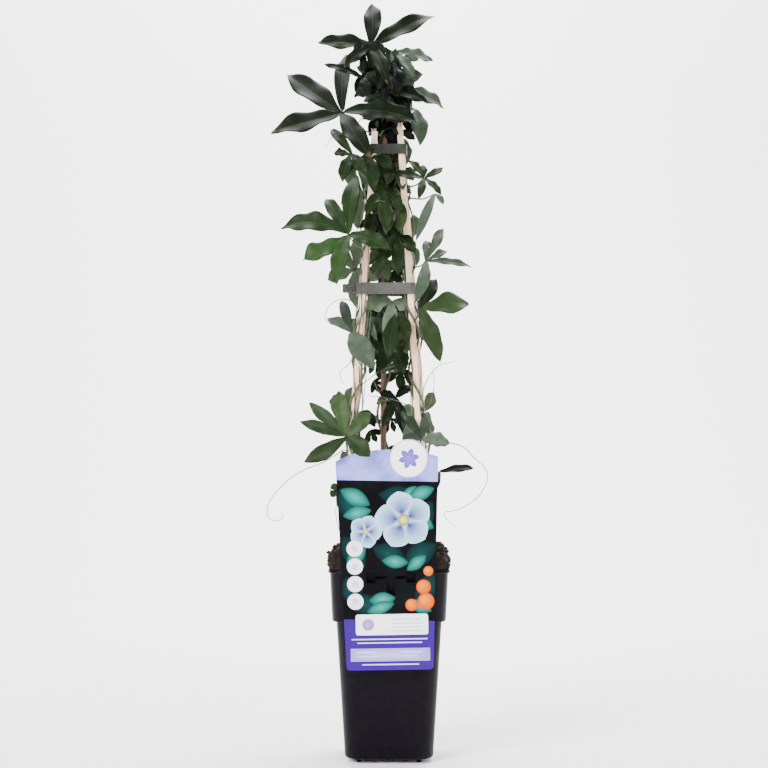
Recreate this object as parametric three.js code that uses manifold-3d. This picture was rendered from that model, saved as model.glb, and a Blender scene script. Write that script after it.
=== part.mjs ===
// A climbing passion flower in a deep square nursery pot, trained up a pyramid of canes.
// Millimetres, +Z up. The origin is the middle of the pot's base, and the front faces -Y.
import * as THREE from "three";
import { mergeVertices } from "three/addons/utils/BufferGeometryUtils.js";
import Module from "manifold-3d";

const wasm = await Module();
wasm.setup();

// ---------------------------------------------------------------- driving dimensions

const GAP = 0.35; // free space kept between neighbouring pieces

const POT = {
  height: 176,
  lipWidth: 110,
  lipHeight: 2.6,
  bandTopWidth: 107,
  bandBottomWidth: 103,
  bandBottom: 131.5,
  stepHeight: 2.4,
  bodyTopWidth: 95.5,
  bodyBottomWidth: 80.6,
  bodyBottom: 5,
  baseWidth: 59,
  baseHeight: 1.6,
  baseCornerRadius: 9,
  cornerRadius: 15,
  wall: 1.3,
  floorBottom: 6,
  floor: 1.6,
  footRadius: 3.2,
  footReach: [27.3, 28.5],
  padRadius: 9,
  notchWidth: 6,
  notchHeight: 5.4,
  drainRadius: 4.5,
  drainOffset: 22,
};

const SOIL = { top: 195, shoulder: 188, widthAtTop: 95, widthAtLip: 108.5, lump: 2.4 };

// A cane's centre line runs from the foot in the soil to the top, bowed outwards between them.
const CANES = {
  cane_front_left: { foot: [-41.5, -42, 146], top: [-13, -8, 576], bow: 0 },
  cane_front_right: { foot: [36.6, -42, 146], top: [10, -8, 580], bow: 0 },
  cane_back_left: { foot: [-43, 40, 146], top: [-14, 9, 570], bow: 2.5 },
  cane_back_right: { foot: [43, 40, 146], top: [11, 9, 572], bow: 1.5 },
};
const CANE_WIDTH = 5.6;
const CANE_DEPTH = 4.2;
const CENTRE_CANE = { foot: [-6, 4, 60], top: [-4, 2, 596], radius: 2.8 };

const STRAP = { z: 431, height: 10.4, thickness: 1.2, tail: 17, tooth: 1.1, teeth: 7 };
const TOP_BAND = { z: 559.5, height: 9, thickness: 1.2 };

const LABEL = {
  front: -57.9,
  thickness: 0.8,
  bottom: 88,
  shoulder: 278,
  bottomWidth: 78,
  shoulderWidth: 92,
  centre: -0.5,
  cornerRadius: 4,
  arch: 7,
  tabCentre: [19.2, 276.8],
  tabRadius: 17,
  tilt: -0.016,
  slotTop: 172,
  slotHeight: 2.7,
  slotHalfSpan: 22,
  slotBlock: [8, 9],
  stemWidth: 9,
  stemPoint: 143.5,
  slotCentre: 1.9,
};
const TONGUE = { width: 8, thickness: 0.6, reach: 149 };

const STEM_RADIUS = 1.25;
const STEM_STEP = 14;
const PETIOLE_RADIUS = 0.9;
const TENDRIL_RADIUS = 0.5;
const BLADE = 0.7; // thickness of a leaf blade

const COLOURS = {
  pot: 0x1f1b22,
  soil: 0x2a1a14,
  cane: 0xecd9cc,
  bamboo: 0x8a6a55,
  strap: 0x8a8a86,
  band: 0x4a4c46,
  label: 0xb1b4e4,
  leaf: 0x2f5a1e,
};

// ------------------------------------------------------------------- small helpers

const vec = (p) => new THREE.Vector3(p[0], p[1], p[2]);

/** The closed mesh as a solid for joining and cutting, turned right side out. */
function solid(geometry) {
  const bare = geometry.clone();
  bare.deleteAttribute("normal");
  bare.deleteAttribute("uv");
  const merged = mergeVertices(bare, 1e-4);
  const at = merged.getAttribute("position").array;
  const corners = Array.from(merged.getIndex().array);
  let volume = 0;
  for (let i = 0; i < corners.length; i += 3) {
    const [a, b, c] = [0, 1, 2].map((k) => new THREE.Vector3().fromArray(at, 3 * corners[i + k]));
    volume += a.dot(b.cross(c));
  }
  if (volume < 0) corners.reverse();
  return new wasm.Manifold(
    new wasm.Mesh({
      numProp: 3,
      vertProperties: Float32Array.from(at),
      triVerts: Uint32Array.from(corners),
    }),
  );
}

/** The solid's surface as three.js geometry. */
function surface(body) {
  const mesh = body.getMesh();
  const geometry = new THREE.BufferGeometry();
  geometry.setAttribute("position", new THREE.BufferAttribute(mesh.vertProperties, 3));
  geometry.setIndex(new THREE.BufferAttribute(mesh.triVerts, 1));
  geometry.computeVertexNormals();
  return geometry;
}

const join = (bodies) => bodies.reduce((whole, body) => whole.add(body));
const cut = (body, tools) => tools.reduce((left, tool) => left.subtract(tool), body);

/** The largest connected piece, without the scraps that a cut leaves. */
function largest(body) {
  const pieces = body.decompose();
  return pieces.reduce((best, piece) => (piece.volume() > best.volume() ? piece : best));
}

/** A regular outline for tubes. */
function ring(radius, sides) {
  const shape = new THREE.Shape();
  for (let i = 0; i < sides; i += 1) {
    const angle = (2 * Math.PI * i) / sides;
    const corner = [radius * Math.cos(angle), radius * Math.sin(angle)];
    if (i === 0) shape.moveTo(...corner);
    else shape.lineTo(...corner);
  }
  shape.closePath();
  return shape;
}

/** A round tube through the points. */
function tube(points, radius, sides, steps) {
  const path = new THREE.CatmullRomCurve3(points, false, "centripetal");
  return solid(
    new THREE.ExtrudeGeometry(ring(radius, sides), { steps, extrudePath: path, curveSegments: 1 }),
  );
}

/** An upright extrusion of a flat outline between two heights. */
function plateUp(shape, bottom, top, curveSegments = 6) {
  const options = { depth: top - bottom, bevelEnabled: false, curveSegments };
  return solid(new THREE.ExtrudeGeometry(shape, options).translate(0, 0, bottom));
}

/** The outline of a square with round corners. */
function roundedSquare(width, radius, segments = 4) {
  const half = width / 2 - radius;
  const points = [];
  for (let corner = 0; corner < 4; corner += 1) {
    const middle = (Math.PI / 2) * corner + Math.PI / 4;
    const cx = half * Math.sign(Math.cos(middle));
    const cy = half * Math.sign(Math.sin(middle));
    for (let i = 0; i <= segments; i += 1) {
      const angle = (Math.PI / 2) * (corner + i / segments);
      points.push([cx + radius * Math.cos(angle), cy + radius * Math.sin(angle)]);
    }
  }
  return points;
}

/**
 * A closed body through rings of points that all have the same count. The first ring is capped
 * flat, and the last one is drawn together to the peak.
 */
function skin(rings, peak) {
  const count = rings[0].length;
  const faces = [];
  for (let level = 0; level + 1 < rings.length; level += 1) {
    for (let i = 0; i < count; i += 1) {
      const a = level * count + i;
      const b = level * count + ((i + 1) % count);
      faces.push(a, b, b + count, a, b + count, a + count);
    }
  }
  const last = (rings.length - 1) * count;
  for (let i = 0; i < count; i += 1) {
    if (i > 0 && i + 1 < count) faces.push(0, i + 1, i);
    faces.push(last + i, last + ((i + 1) % count), rings.length * count);
  }
  const geometry = new THREE.BufferGeometry();
  const positions = [...rings, [peak]].flat(2);
  geometry.setAttribute("position", new THREE.Float32BufferAttribute(positions, 3));
  geometry.setIndex(faces);
  return solid(geometry);
}

/** A closed body through level outlines, flat at both ends. */
function loft(levels) {
  const rings = levels.map(({ outline, z }) => outline.map(([x, y]) => [x, y, z]));
  const top = rings[rings.length - 1];
  const middle = [0, 1, 2].map((k) => top.reduce((sum, corner) => sum + corner[k], 0) / top.length);
  return skin(rings, middle);
}

const squareLevel = (width, z, radius = POT.cornerRadius) => ({
  outline: roundedSquare(width, radius),
  z,
});

// --------------------------------------------------------------------------- pot

/** The pot's outer surface, from the base to the rolled lip. */
function potOuter() {
  return loft([
    squareLevel(POT.baseWidth, POT.baseHeight, POT.baseCornerRadius),
    squareLevel(POT.bodyBottomWidth, POT.bodyBottom),
    squareLevel(POT.bodyTopWidth, POT.bandBottom - POT.stepHeight),
    squareLevel(POT.bandBottomWidth, POT.bandBottom),
    squareLevel(POT.bandTopWidth, POT.height - POT.lipHeight),
    squareLevel(POT.lipWidth, POT.height - POT.lipHeight),
    squareLevel(POT.lipWidth, POT.height),
  ]);
}

/** The widths and heights of the pot's inside, drawn in by a distance from its walls. */
function potInside(clear) {
  const shrink = 2 * (POT.wall + clear);
  return [
    [POT.bodyBottomWidth - shrink, POT.floorBottom + POT.floor + clear],
    [POT.bodyTopWidth - shrink, POT.bandBottom],
    [POT.bandBottomWidth - shrink, POT.bandBottom + POT.stepHeight],
    [POT.bandTopWidth - shrink, POT.height - POT.lipHeight],
  ];
}

/** A short tube standing on its end, used for drain holes and foot nubs. */
function upright(x, y, bottom, top, radius, sides) {
  return plateUp(ring(radius, sides), bottom, top).translate(x, y, 0);
}

/** One piece for each corner of the base. */
function atCorners([x, y], make) {
  return [-1, 1].flatMap((sx) => [-1, 1].map((sy) => make(sx * x, sy * y)));
}

function buildPot() {
  const overlap = 1;
  const feet = atCorners(POT.footReach, (x, y) =>
    upright(x, y, 0, POT.floorBottom + overlap, POT.footRadius, 6),
  );
  const room = potInside(0);
  room.push([POT.bandTopWidth - 2 * POT.wall, POT.height + overlap]);
  const inside = loft(room.map(([width, z]) => squareLevel(width, z)));
  const hollow = POT.baseWidth - 2 * POT.wall;
  const recess = loft([
    squareLevel(hollow, -overlap, POT.baseCornerRadius),
    squareLevel(hollow, POT.baseHeight, POT.baseCornerRadius),
    squareLevel(POT.bodyBottomWidth - 6 * POT.wall, POT.floorBottom),
  ]);
  const pad = upright(0, 0, 0, POT.floorBottom + overlap, POT.padRadius, 16);
  const shell = join([cut(potOuter(), [inside, recess]), pad, ...feet]);
  const drains = atCorners([POT.drainOffset, POT.drainOffset], (x, y) =>
    upright(x, y, -overlap, POT.floorBottom + 2 * POT.floor, POT.drainRadius, 10),
  );
  const notches = [0, 1, 2, 3].map((side) => {
    const box = new THREE.BoxGeometry(POT.notchWidth, POT.baseWidth / 2, 2 * POT.notchHeight);
    return solid(box.translate(0, -POT.bodyBottomWidth / 2, 0).rotateZ((Math.PI / 2) * side));
  });
  return cut(shell, [...drains, ...notches]);
}

// --------------------------------------------------------------------------- soil

/** Bumps of the medium's surface, in and out, the same on every run. */
function lumps(x, y) {
  const coarse = Math.sin(0.19 * x + 0.7) * Math.cos(0.23 * y - 0.4);
  const fine = Math.sin(0.61 * x - 1.1) * Math.sin(0.53 * y + 0.9);
  return SOIL.lump * (coarse + 0.6 * fine);
}

/** The medium: smooth inside the pot, and pushed in and out by the lumps above the lip. */
function soilBody() {
  const inside = potInside(GAP);
  const [widthAtMouth] = inside[inside.length - 1];
  inside.push([widthAtMouth, POT.height + GAP], [SOIL.widthAtLip, POT.height + GAP]);
  const smooth = inside.map(([width, z]) =>
    roundedSquare(width, POT.cornerRadius).map(([x, y]) => [x, y, z]),
  );
  const heap = [
    [SOIL.widthAtLip + 1, SOIL.shoulder - 5],
    [SOIL.widthAtLip - 3, SOIL.shoulder],
    [SOIL.widthAtTop, SOIL.top - 2],
    [SOIL.widthAtTop * 0.72, SOIL.top],
    [SOIL.widthAtTop * 0.42, SOIL.top + 1],
    [SOIL.widthAtTop * 0.16, SOIL.top + 1],
  ];
  const rough = heap.map(([width, z]) => {
    const radius = (POT.cornerRadius * width) / SOIL.widthAtLip;
    return roundedSquare(width, radius).map(([x, y]) => {
      const bump = lumps(x + z, y);
      const squeeze = 1 - Math.abs(bump) / 90;
      return [x * squeeze, y * squeeze, z + bump * 0.8];
    });
  });
  return skin([...smooth, ...rough], [0, 0, SOIL.top + 1 + lumps(0, 0) * 0.5]);
}

// -------------------------------------------------------------------------- canes

/** The point of a cane's centre line at a height. */
function caneAt(cane, z) {
  const share = (z - cane.foot[2]) / (cane.top[2] - cane.foot[2]);
  const point = vec(cane.foot).lerp(vec(cane.top), share);
  const outwards = new THREE.Vector3(cane.foot[0], cane.foot[1], 0).normalize();
  return point.addScaledVector(outwards, 4 * (cane.bow ?? 0) * share * (1 - share));
}

/** A split cane: flat-sided, a little thicker one way, with its corners knocked off. */
function splitCane(cane, grow = 0) {
  const [w, d] = [CANE_WIDTH / 2 + grow, CANE_DEPTH / 2 + grow];
  const chamfer = 0.9;
  const section = [
    [w, -d + chamfer],
    [w, d - chamfer],
    [w - chamfer, d],
    [-w + chamfer, d],
    [-w, d - chamfer],
    [-w, -d + chamfer],
    [-w + chamfer, -d],
    [w - chamfer, -d],
  ];
  const steps = 6;
  const levels = [];
  for (let i = 0; i <= steps; i += 1) {
    const z = cane.foot[2] - grow + ((cane.top[2] + 2 * grow - cane.foot[2]) * i) / steps;
    const middle = caneAt(cane, z);
    levels.push({ outline: section.map(([x, y]) => [middle.x + x, middle.y + y]), z });
  }
  return loft(levels);
}

/** The round bamboo cane, with swollen joints. */
function bambooCane(grow = 0) {
  const nodeSpacing = 118;
  const levels = [];
  const steps = 40;
  for (let i = 0; i <= steps; i += 1) {
    const z = CENTRE_CANE.foot[2] + ((CENTRE_CANE.top[2] - CENTRE_CANE.foot[2]) * i) / steps;
    const fromNode = Math.abs((((z - 75) % nodeSpacing) + nodeSpacing) % nodeSpacing);
    const nearNode = Math.min(fromNode, nodeSpacing - fromNode);
    const swell = nearNode < 8 ? 0.45 : 0;
    if (i > 0 && i < steps && nearNode > 21) continue;
    const middle = caneAt(CENTRE_CANE, z);
    const radius = CENTRE_CANE.radius + swell + grow;
    const outline = [];
    for (let side = 0; side < 8; side += 1) {
      const angle = (Math.PI / 4) * side;
      outline.push([middle.x + radius * Math.cos(angle), middle.y + radius * Math.sin(angle)]);
    }
    levels.push({ outline, z });
  }
  return loft(levels);
}

// -------------------------------------------------------------------------- bands

/** The outline that a band takes round the four canes at a height. */
function bandOutline(z, offset) {
  const order = ["cane_front_right", "cane_back_right", "cane_back_left", "cane_front_left"];
  const centres = order.map((name) => caneAt(CANES[name], z));
  const points = [];
  const segments = 4;
  centres.forEach((centre, i) => {
    const before = centres[(i + 3) % 4];
    const after = centres[(i + 1) % 4];
    const start = Math.atan2(centre.y - before.y, centre.x - before.x) - Math.PI / 2;
    let end = Math.atan2(after.y - centre.y, after.x - centre.x) - Math.PI / 2;
    while (end < start) end += 2 * Math.PI;
    for (let k = 0; k <= segments; k += 1) {
      const angle = start + ((end - start) * k) / segments;
      points.push([centre.x + offset * Math.cos(angle), centre.y + offset * Math.sin(angle)]);
    }
  });
  return points;
}

const BAND_INNER = CANE_WIDTH / 2 + 1.0;

/** A closed band round the canes. */
function band({ z, height, thickness }, grow = 0) {
  const level = (offset, at) => ({ outline: bandOutline(z, offset), z: at });
  const [low, high] = [z - height / 2 - grow, z + height / 2 + grow];
  const outer = loft([
    level(BAND_INNER + thickness + grow, low),
    level(BAND_INNER + thickness + grow, high),
  ]);
  const inner = loft([level(BAND_INNER - grow, low - 1), level(BAND_INNER - grow, high + 1)]);
  return outer.subtract(inner);
}

/** The strap's free end: a toothed tongue that sticks out past the left front cane. */
function strapTail(grow = 0) {
  const corner = caneAt(CANES.cane_front_left, STRAP.z);
  const right = corner.x - BAND_INNER + 1.2;
  const left = right - STRAP.tail - grow;
  const y = corner.y - 1.2;
  const half = STRAP.height / 2 - 1 + grow;
  const shape = new THREE.Shape();
  shape.moveTo(right, -half);
  shape.lineTo(right, half);
  const pitch = (right - left) / STRAP.teeth;
  for (let tooth = 0; tooth < STRAP.teeth; tooth += 1) {
    const x = right - pitch * tooth;
    shape.lineTo(x - 0.35 * pitch, half);
    shape.lineTo(x - pitch, half - STRAP.tooth);
    if (tooth + 1 < STRAP.teeth) shape.lineTo(x - pitch, half);
  }
  shape.lineTo(left, -half + STRAP.tooth);
  shape.lineTo(left + 2, -half);
  shape.closePath();
  const depth = STRAP.thickness + 2 * grow;
  const tail = new THREE.ExtrudeGeometry(shape, { depth, bevelEnabled: false });
  tail.rotateX(Math.PI / 2).translate(0, y + depth / 2, STRAP.z);
  const head = new THREE.BoxGeometry(5 + 2 * grow, 5 + 2 * grow, STRAP.height + 2 * grow);
  head.translate(right - 2.2, y, STRAP.z);
  return solid(tail).add(solid(head));
}

// -------------------------------------------------------------------------- label

/** The label's outline with its round tab, in its own plane (across, up). */
function labelOutline(grow = 0) {
  const half = (width) => width / 2 + grow;
  const shape = new THREE.Shape();
  const r = LABEL.cornerRadius;
  const bottom = LABEL.bottom - grow;
  shape.moveTo(-half(LABEL.bottomWidth) + r, bottom);
  shape.lineTo(half(LABEL.bottomWidth) - r, bottom);
  shape.quadraticCurveTo(half(LABEL.bottomWidth), bottom, half(LABEL.bottomWidth), bottom + r);
  shape.lineTo(half(LABEL.shoulderWidth), LABEL.shoulder + grow);
  const archTop = LABEL.shoulder + LABEL.arch + grow;
  shape.quadraticCurveTo(0.62 * half(LABEL.shoulderWidth), archTop, 0, archTop);
  shape.quadraticCurveTo(
    -0.62 * half(LABEL.shoulderWidth),
    archTop,
    -half(LABEL.shoulderWidth),
    LABEL.shoulder - 3 + grow,
  );
  shape.lineTo(-half(LABEL.bottomWidth), bottom + r);
  shape.quadraticCurveTo(-half(LABEL.bottomWidth), bottom, -half(LABEL.bottomWidth) + r, bottom);
  return shape;
}

/** The cut-out that the tongue is folded from: a bar with two end blocks and a pointed stem. */
function labelCutOut() {
  const { slotCentre: cx, slotTop, slotHeight, slotHalfSpan: span, stemPoint } = LABEL;
  const [blockWidth, blockHeight] = LABEL.slotBlock;
  const blockTop = slotTop + slotHeight;
  const blockBottom = blockTop - blockHeight;
  const barBottom = slotTop - slotHeight;
  const halfStem = LABEL.stemWidth / 2;
  const rightHalf = [
    [span - blockWidth, slotTop],
    [span - blockWidth, blockTop],
    [span, blockTop],
    [span, blockBottom],
    [span - blockWidth, blockBottom],
    [span - blockWidth, barBottom],
    [halfStem, barBottom],
    [halfStem * 0.8, barBottom - 14],
  ];
  const shape = new THREE.Shape();
  shape.moveTo(cx + rightHalf[0][0], rightHalf[0][1]);
  rightHalf.slice(1).forEach(([x, z]) => shape.lineTo(cx + x, z));
  shape.lineTo(cx, stemPoint);
  rightHalf.toReversed().forEach(([x, z]) => shape.lineTo(cx - x, z));
  shape.closePath();
  return shape;
}

/** Stands a flat outline upright, its front face at y = front, tilted like the label. */
function uprightPlate(shape, front, thickness) {
  const plate = new THREE.ExtrudeGeometry(shape, {
    depth: thickness,
    bevelEnabled: false,
    curveSegments: 8,
  });
  plate.rotateX(Math.PI / 2).translate(0, front + thickness, 0);
  return plate;
}

/** The tongue folded back over the pot's lip and down behind it. */
function labelTongue(grow = 0) {
  const half = TONGUE.thickness / 2 + grow;
  const lip = POT.lipWidth / 2;
  const inside = POT.bandTopWidth / 2 - POT.wall;
  const y = LABEL.front + LABEL.thickness / 2;
  const path = [
    [y, LABEL.slotTop - 0.5],
    [y + 0.25, LABEL.slotTop + 2],
    [-lip - 0.6, POT.height + 1],
    [-lip + 1.5, POT.height + 1.6],
    [-inside - 1, POT.height + 1.6],
    [-inside + 1.1, POT.height + 0.6],
    [-inside + 1.6, POT.height - 4],
    [-inside + 3.4, TONGUE.reach],
  ].map(([py, pz]) => new THREE.Vector2(py, pz));
  const sides = [1, -1].map((side) =>
    path.map((point, i) => {
      const before = path[Math.max(i - 1, 0)];
      const after = path[Math.min(i + 1, path.length - 1)];
      const along = after.clone().sub(before).normalize();
      return new THREE.Vector2(point.x - side * half * along.y, point.y + side * half * along.x);
    }),
  );
  const shape = new THREE.Shape([...sides[0], ...sides[1].reverse()]);
  const width = TONGUE.width + 2 * grow;
  const strip = new THREE.ExtrudeGeometry(shape, { depth: width, bevelEnabled: false });
  strip.rotateX(Math.PI / 2).rotateZ(Math.PI / 2);
  return solid(strip.translate(LABEL.slotCentre - width / 2, 0, 0));
}

/** The whole label: plate with tab, less the cut-out, with the tongue hooked on the lip. */
function labelBody(grow = 0) {
  const { front, thickness, tilt, centre } = LABEL;
  const turn = new THREE.Matrix4().makeRotationY(tilt);
  const pivot = new THREE.Matrix4().makeTranslation(centre, 0, POT.height);
  const back = new THREE.Matrix4().makeTranslation(0, 0, -POT.height);
  const place = pivot.multiply(turn).multiply(back);
  const plate = (shape, extra = 0) =>
    solid(uprightPlate(shape, front - grow - extra, thickness + 2 * (grow + extra)));
  const tab = ring(LABEL.tabRadius + grow, 28);
  const disc = uprightPlate(tab, front - grow, thickness + 2 * grow);
  disc.translate(LABEL.tabCentre[0] - centre, 0, LABEL.tabCentre[1]);
  const sheet = plate(labelOutline(grow)).add(solid(disc));
  const opened = grow > 0 ? sheet : sheet.subtract(plate(labelCutOut(), 1));
  return opened.transform(place.elements).add(labelTongue(grow));
}

// -------------------------------------------------------------------------- leaves

const LOBE_STATIONS = [
  { share: 0.28, width: 0.76 },
  { share: 0.52, width: 1.0 },
  { share: 0.78, width: 0.84 },
];
const SHORT_STATIONS = [
  { share: 0.34, width: 0.9 },
  { share: 0.7, width: 0.84 },
];
const SHORT_LOBE = 32; // a lobe under this length has the plainer outline
const SINUS = 0.15; // how far from the hub the cut between two lobes ends, per lobe length
const ARCH = 0.07; // how high a lobe's rib arches, per lobe length
const KEEL = 0.2; // how far the edges stand above the rib, per half width
const WIDE_GAP = 2.4; // an angle past which the base between two lobes is left open

/** A lobe as seen from the front: how far its tip is to the right and up, and its width. */
const lobe = (right, up, width) => ({ right, up, width });

/** A leaf: its hub, the way its upper face looks, and its lobes. */
const leaf = (hub, face, lobes) => ({ hub: vec(hub), face: vec(face).normalize(), lobes });

/** The lobes' directions, lengths and frames, in turn round the leaf's face. */
function lobeFrames({ face, lobes }) {
  const across = new THREE.Vector3(1, 0, 0).addScaledVector(face, -face.x).normalize();
  const upwards = new THREE.Vector3().crossVectors(face, across);
  const frames = lobes.map(({ right, up, width }) => {
    const slope = -(face.x * right + face.z * up) / face.y;
    const reach = new THREE.Vector3(right, slope, up);
    const length = reach.length();
    const along = reach.clone().normalize();
    const normal = face.clone().addScaledVector(along, -face.dot(along)).normalize();
    const left = new THREE.Vector3().crossVectors(normal, along);
    const angle = Math.atan2(reach.dot(upwards), reach.dot(across));
    const trueWidth = width / Math.hypot(left.x, left.z);
    return { reach, length, along, normal, left, width: trueWidth, angle };
  });
  frames.sort((a, b) => a.angle - b.angle);
  frames.forEach((frame, i) => {
    const next = frames[(i + 1) % frames.length];
    let gap = next.angle - frame.angle;
    if (gap <= 0) gap += 2 * Math.PI;
    frame.gapLeft = gap;
    next.gapRight = gap;
  });
  return frames;
}

/** One leaf blade as a closed thin solid: every lobe folded along its rib and waved. */
function leafBlade(spec, grow = 0) {
  const frames = lobeFrames(spec);
  const half = BLADE / 2 + grow;
  const [tops, bottoms, faces] = [[], [], []];
  const add = (point, normal) => {
    tops.push(point.clone().addScaledVector(normal, half));
    bottoms.push(point.clone().addScaledVector(normal, -half));
    return tops.length - 1;
  };
  const hub = add(spec.hub, spec.face);
  const outline = [];
  const sinusPoint = (frame, side, gap, length) => {
    const open = gap > WIDE_GAP;
    const turn = side * (open ? 1.1 : gap / 2);
    const ray = frame.along.clone().applyAxisAngle(spec.face, turn);
    ray.addScaledVector(spec.face, -ray.dot(spec.face)).normalize();
    const radius = (open ? 2.6 : SINUS * length) + grow;
    return spec.hub.clone().addScaledVector(ray, radius);
  };
  const sinuses = frames.map((frame, i) => {
    const next = frames[(i + 1) % frames.length];
    const open = frame.gapLeft > WIDE_GAP;
    const shorter = Math.min(frame.length, next.length);
    const before = add(sinusPoint(frame, 1, frame.gapLeft, shorter), spec.face);
    const after = open ? add(sinusPoint(next, -1, frame.gapLeft, shorter), spec.face) : before;
    return { before, after };
  });
  frames.forEach((frame, i) => {
    const previous = sinuses[(i + frames.length - 1) % frames.length];
    const rows = [{ right: previous.after, rib: hub, left: sinuses[i].before }];
    const stations = frame.length < SHORT_LOBE ? SHORT_STATIONS : LOBE_STATIONS;
    stations.forEach(({ share, width }, k) => {
      const rib = spec.hub.clone().addScaledVector(frame.reach, share);
      rib.addScaledVector(frame.normal, ARCH * frame.length * 4 * share * (1 - share));
      const wave = (k % 2 === 0 ? 0.09 : -0.06) * frame.width;
      const edge = (side, gap) => {
        const room = share * frame.length * Math.tan(Math.min(gap, 2.6) / 2) * 0.84;
        const reach = Math.min((width * frame.width) / 2, room) + grow;
        const point = rib.clone().addScaledVector(frame.left, side * reach);
        return add(point.addScaledVector(frame.normal, KEEL * reach + side * wave), frame.normal);
      };
      rows.push({
        right: edge(-1, frame.gapRight),
        rib: add(rib, frame.normal),
        left: edge(1, frame.gapLeft),
      });
    });
    const tipPoint = spec.hub.clone().add(frame.reach).addScaledVector(frame.along, grow);
    const tip = add(tipPoint, frame.normal);
    for (let k = 0; k + 1 < rows.length; k += 1) {
      const [a, b] = [rows[k], rows[k + 1]];
      faces.push([a.right, b.right, b.rib], [a.right, b.rib, a.rib]);
      faces.push([a.rib, b.rib, b.left], [a.rib, b.left, a.left]);
    }
    const end = rows[rows.length - 1];
    faces.push([end.right, tip, end.rib], [end.rib, tip, end.left]);
    outline.push(...rows.map((row) => row.right), tip, ...rows.toReversed().map((row) => row.left));
    if (sinuses[i].after === sinuses[i].before) outline.pop();
    else faces.push([hub, sinuses[i].before, sinuses[i].after]);
  });
  const count = tops.length;
  const corners = [];
  for (const [a, b, c] of faces) corners.push(a, b, c, count + c, count + b, count + a);
  outline.forEach((a, i) => {
    const b = outline[(i + 1) % outline.length];
    corners.push(count + a, count + b, b, count + a, b, a);
  });
  const geometry = new THREE.BufferGeometry();
  const positions = [...tops, ...bottoms].flatMap((point) => point.toArray());
  geometry.setAttribute("position", new THREE.Float32BufferAttribute(positions, 3));
  geometry.setIndex(corners);
  return solid(geometry);
}

// --------------------------------------------------------------------------- vines

/** Points of a stem that winds up a cane, on the cane's inner side where the strap passes. */
function winding(cane, from, to, pitch) {
  const radius = CANE_WIDTH / 2 + GAP + STEM_RADIUS + 1.2;
  const inwards = Math.atan2(-cane.foot[1], -cane.foot[0]);
  const points = [];
  const steps = Math.round((7 * (to - from)) / Math.abs(pitch));
  for (let i = 0; i <= steps; i += 1) {
    const z = from + ((to - from) * i) / steps;
    const angle = inwards + (2 * Math.PI * (z - STRAP.z)) / pitch;
    const offset = new THREE.Vector3(Math.cos(angle), Math.sin(angle), 0);
    points.push(caneAt(cane, z).addScaledVector(offset, radius).toArray());
  }
  return points;
}

const FRONT = [0, -0.8, 0.6];
const FRONT_LEFT = [-0.25, -0.75, 0.6];
const FRONT_RIGHT = [0.25, -0.75, 0.6];
const BACK = [0, 0.8, 0.6];
const BACK_LEFT = [-0.45, 0.7, 0.55];
const BACK_RIGHT = [0.45, 0.7, 0.55];

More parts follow.
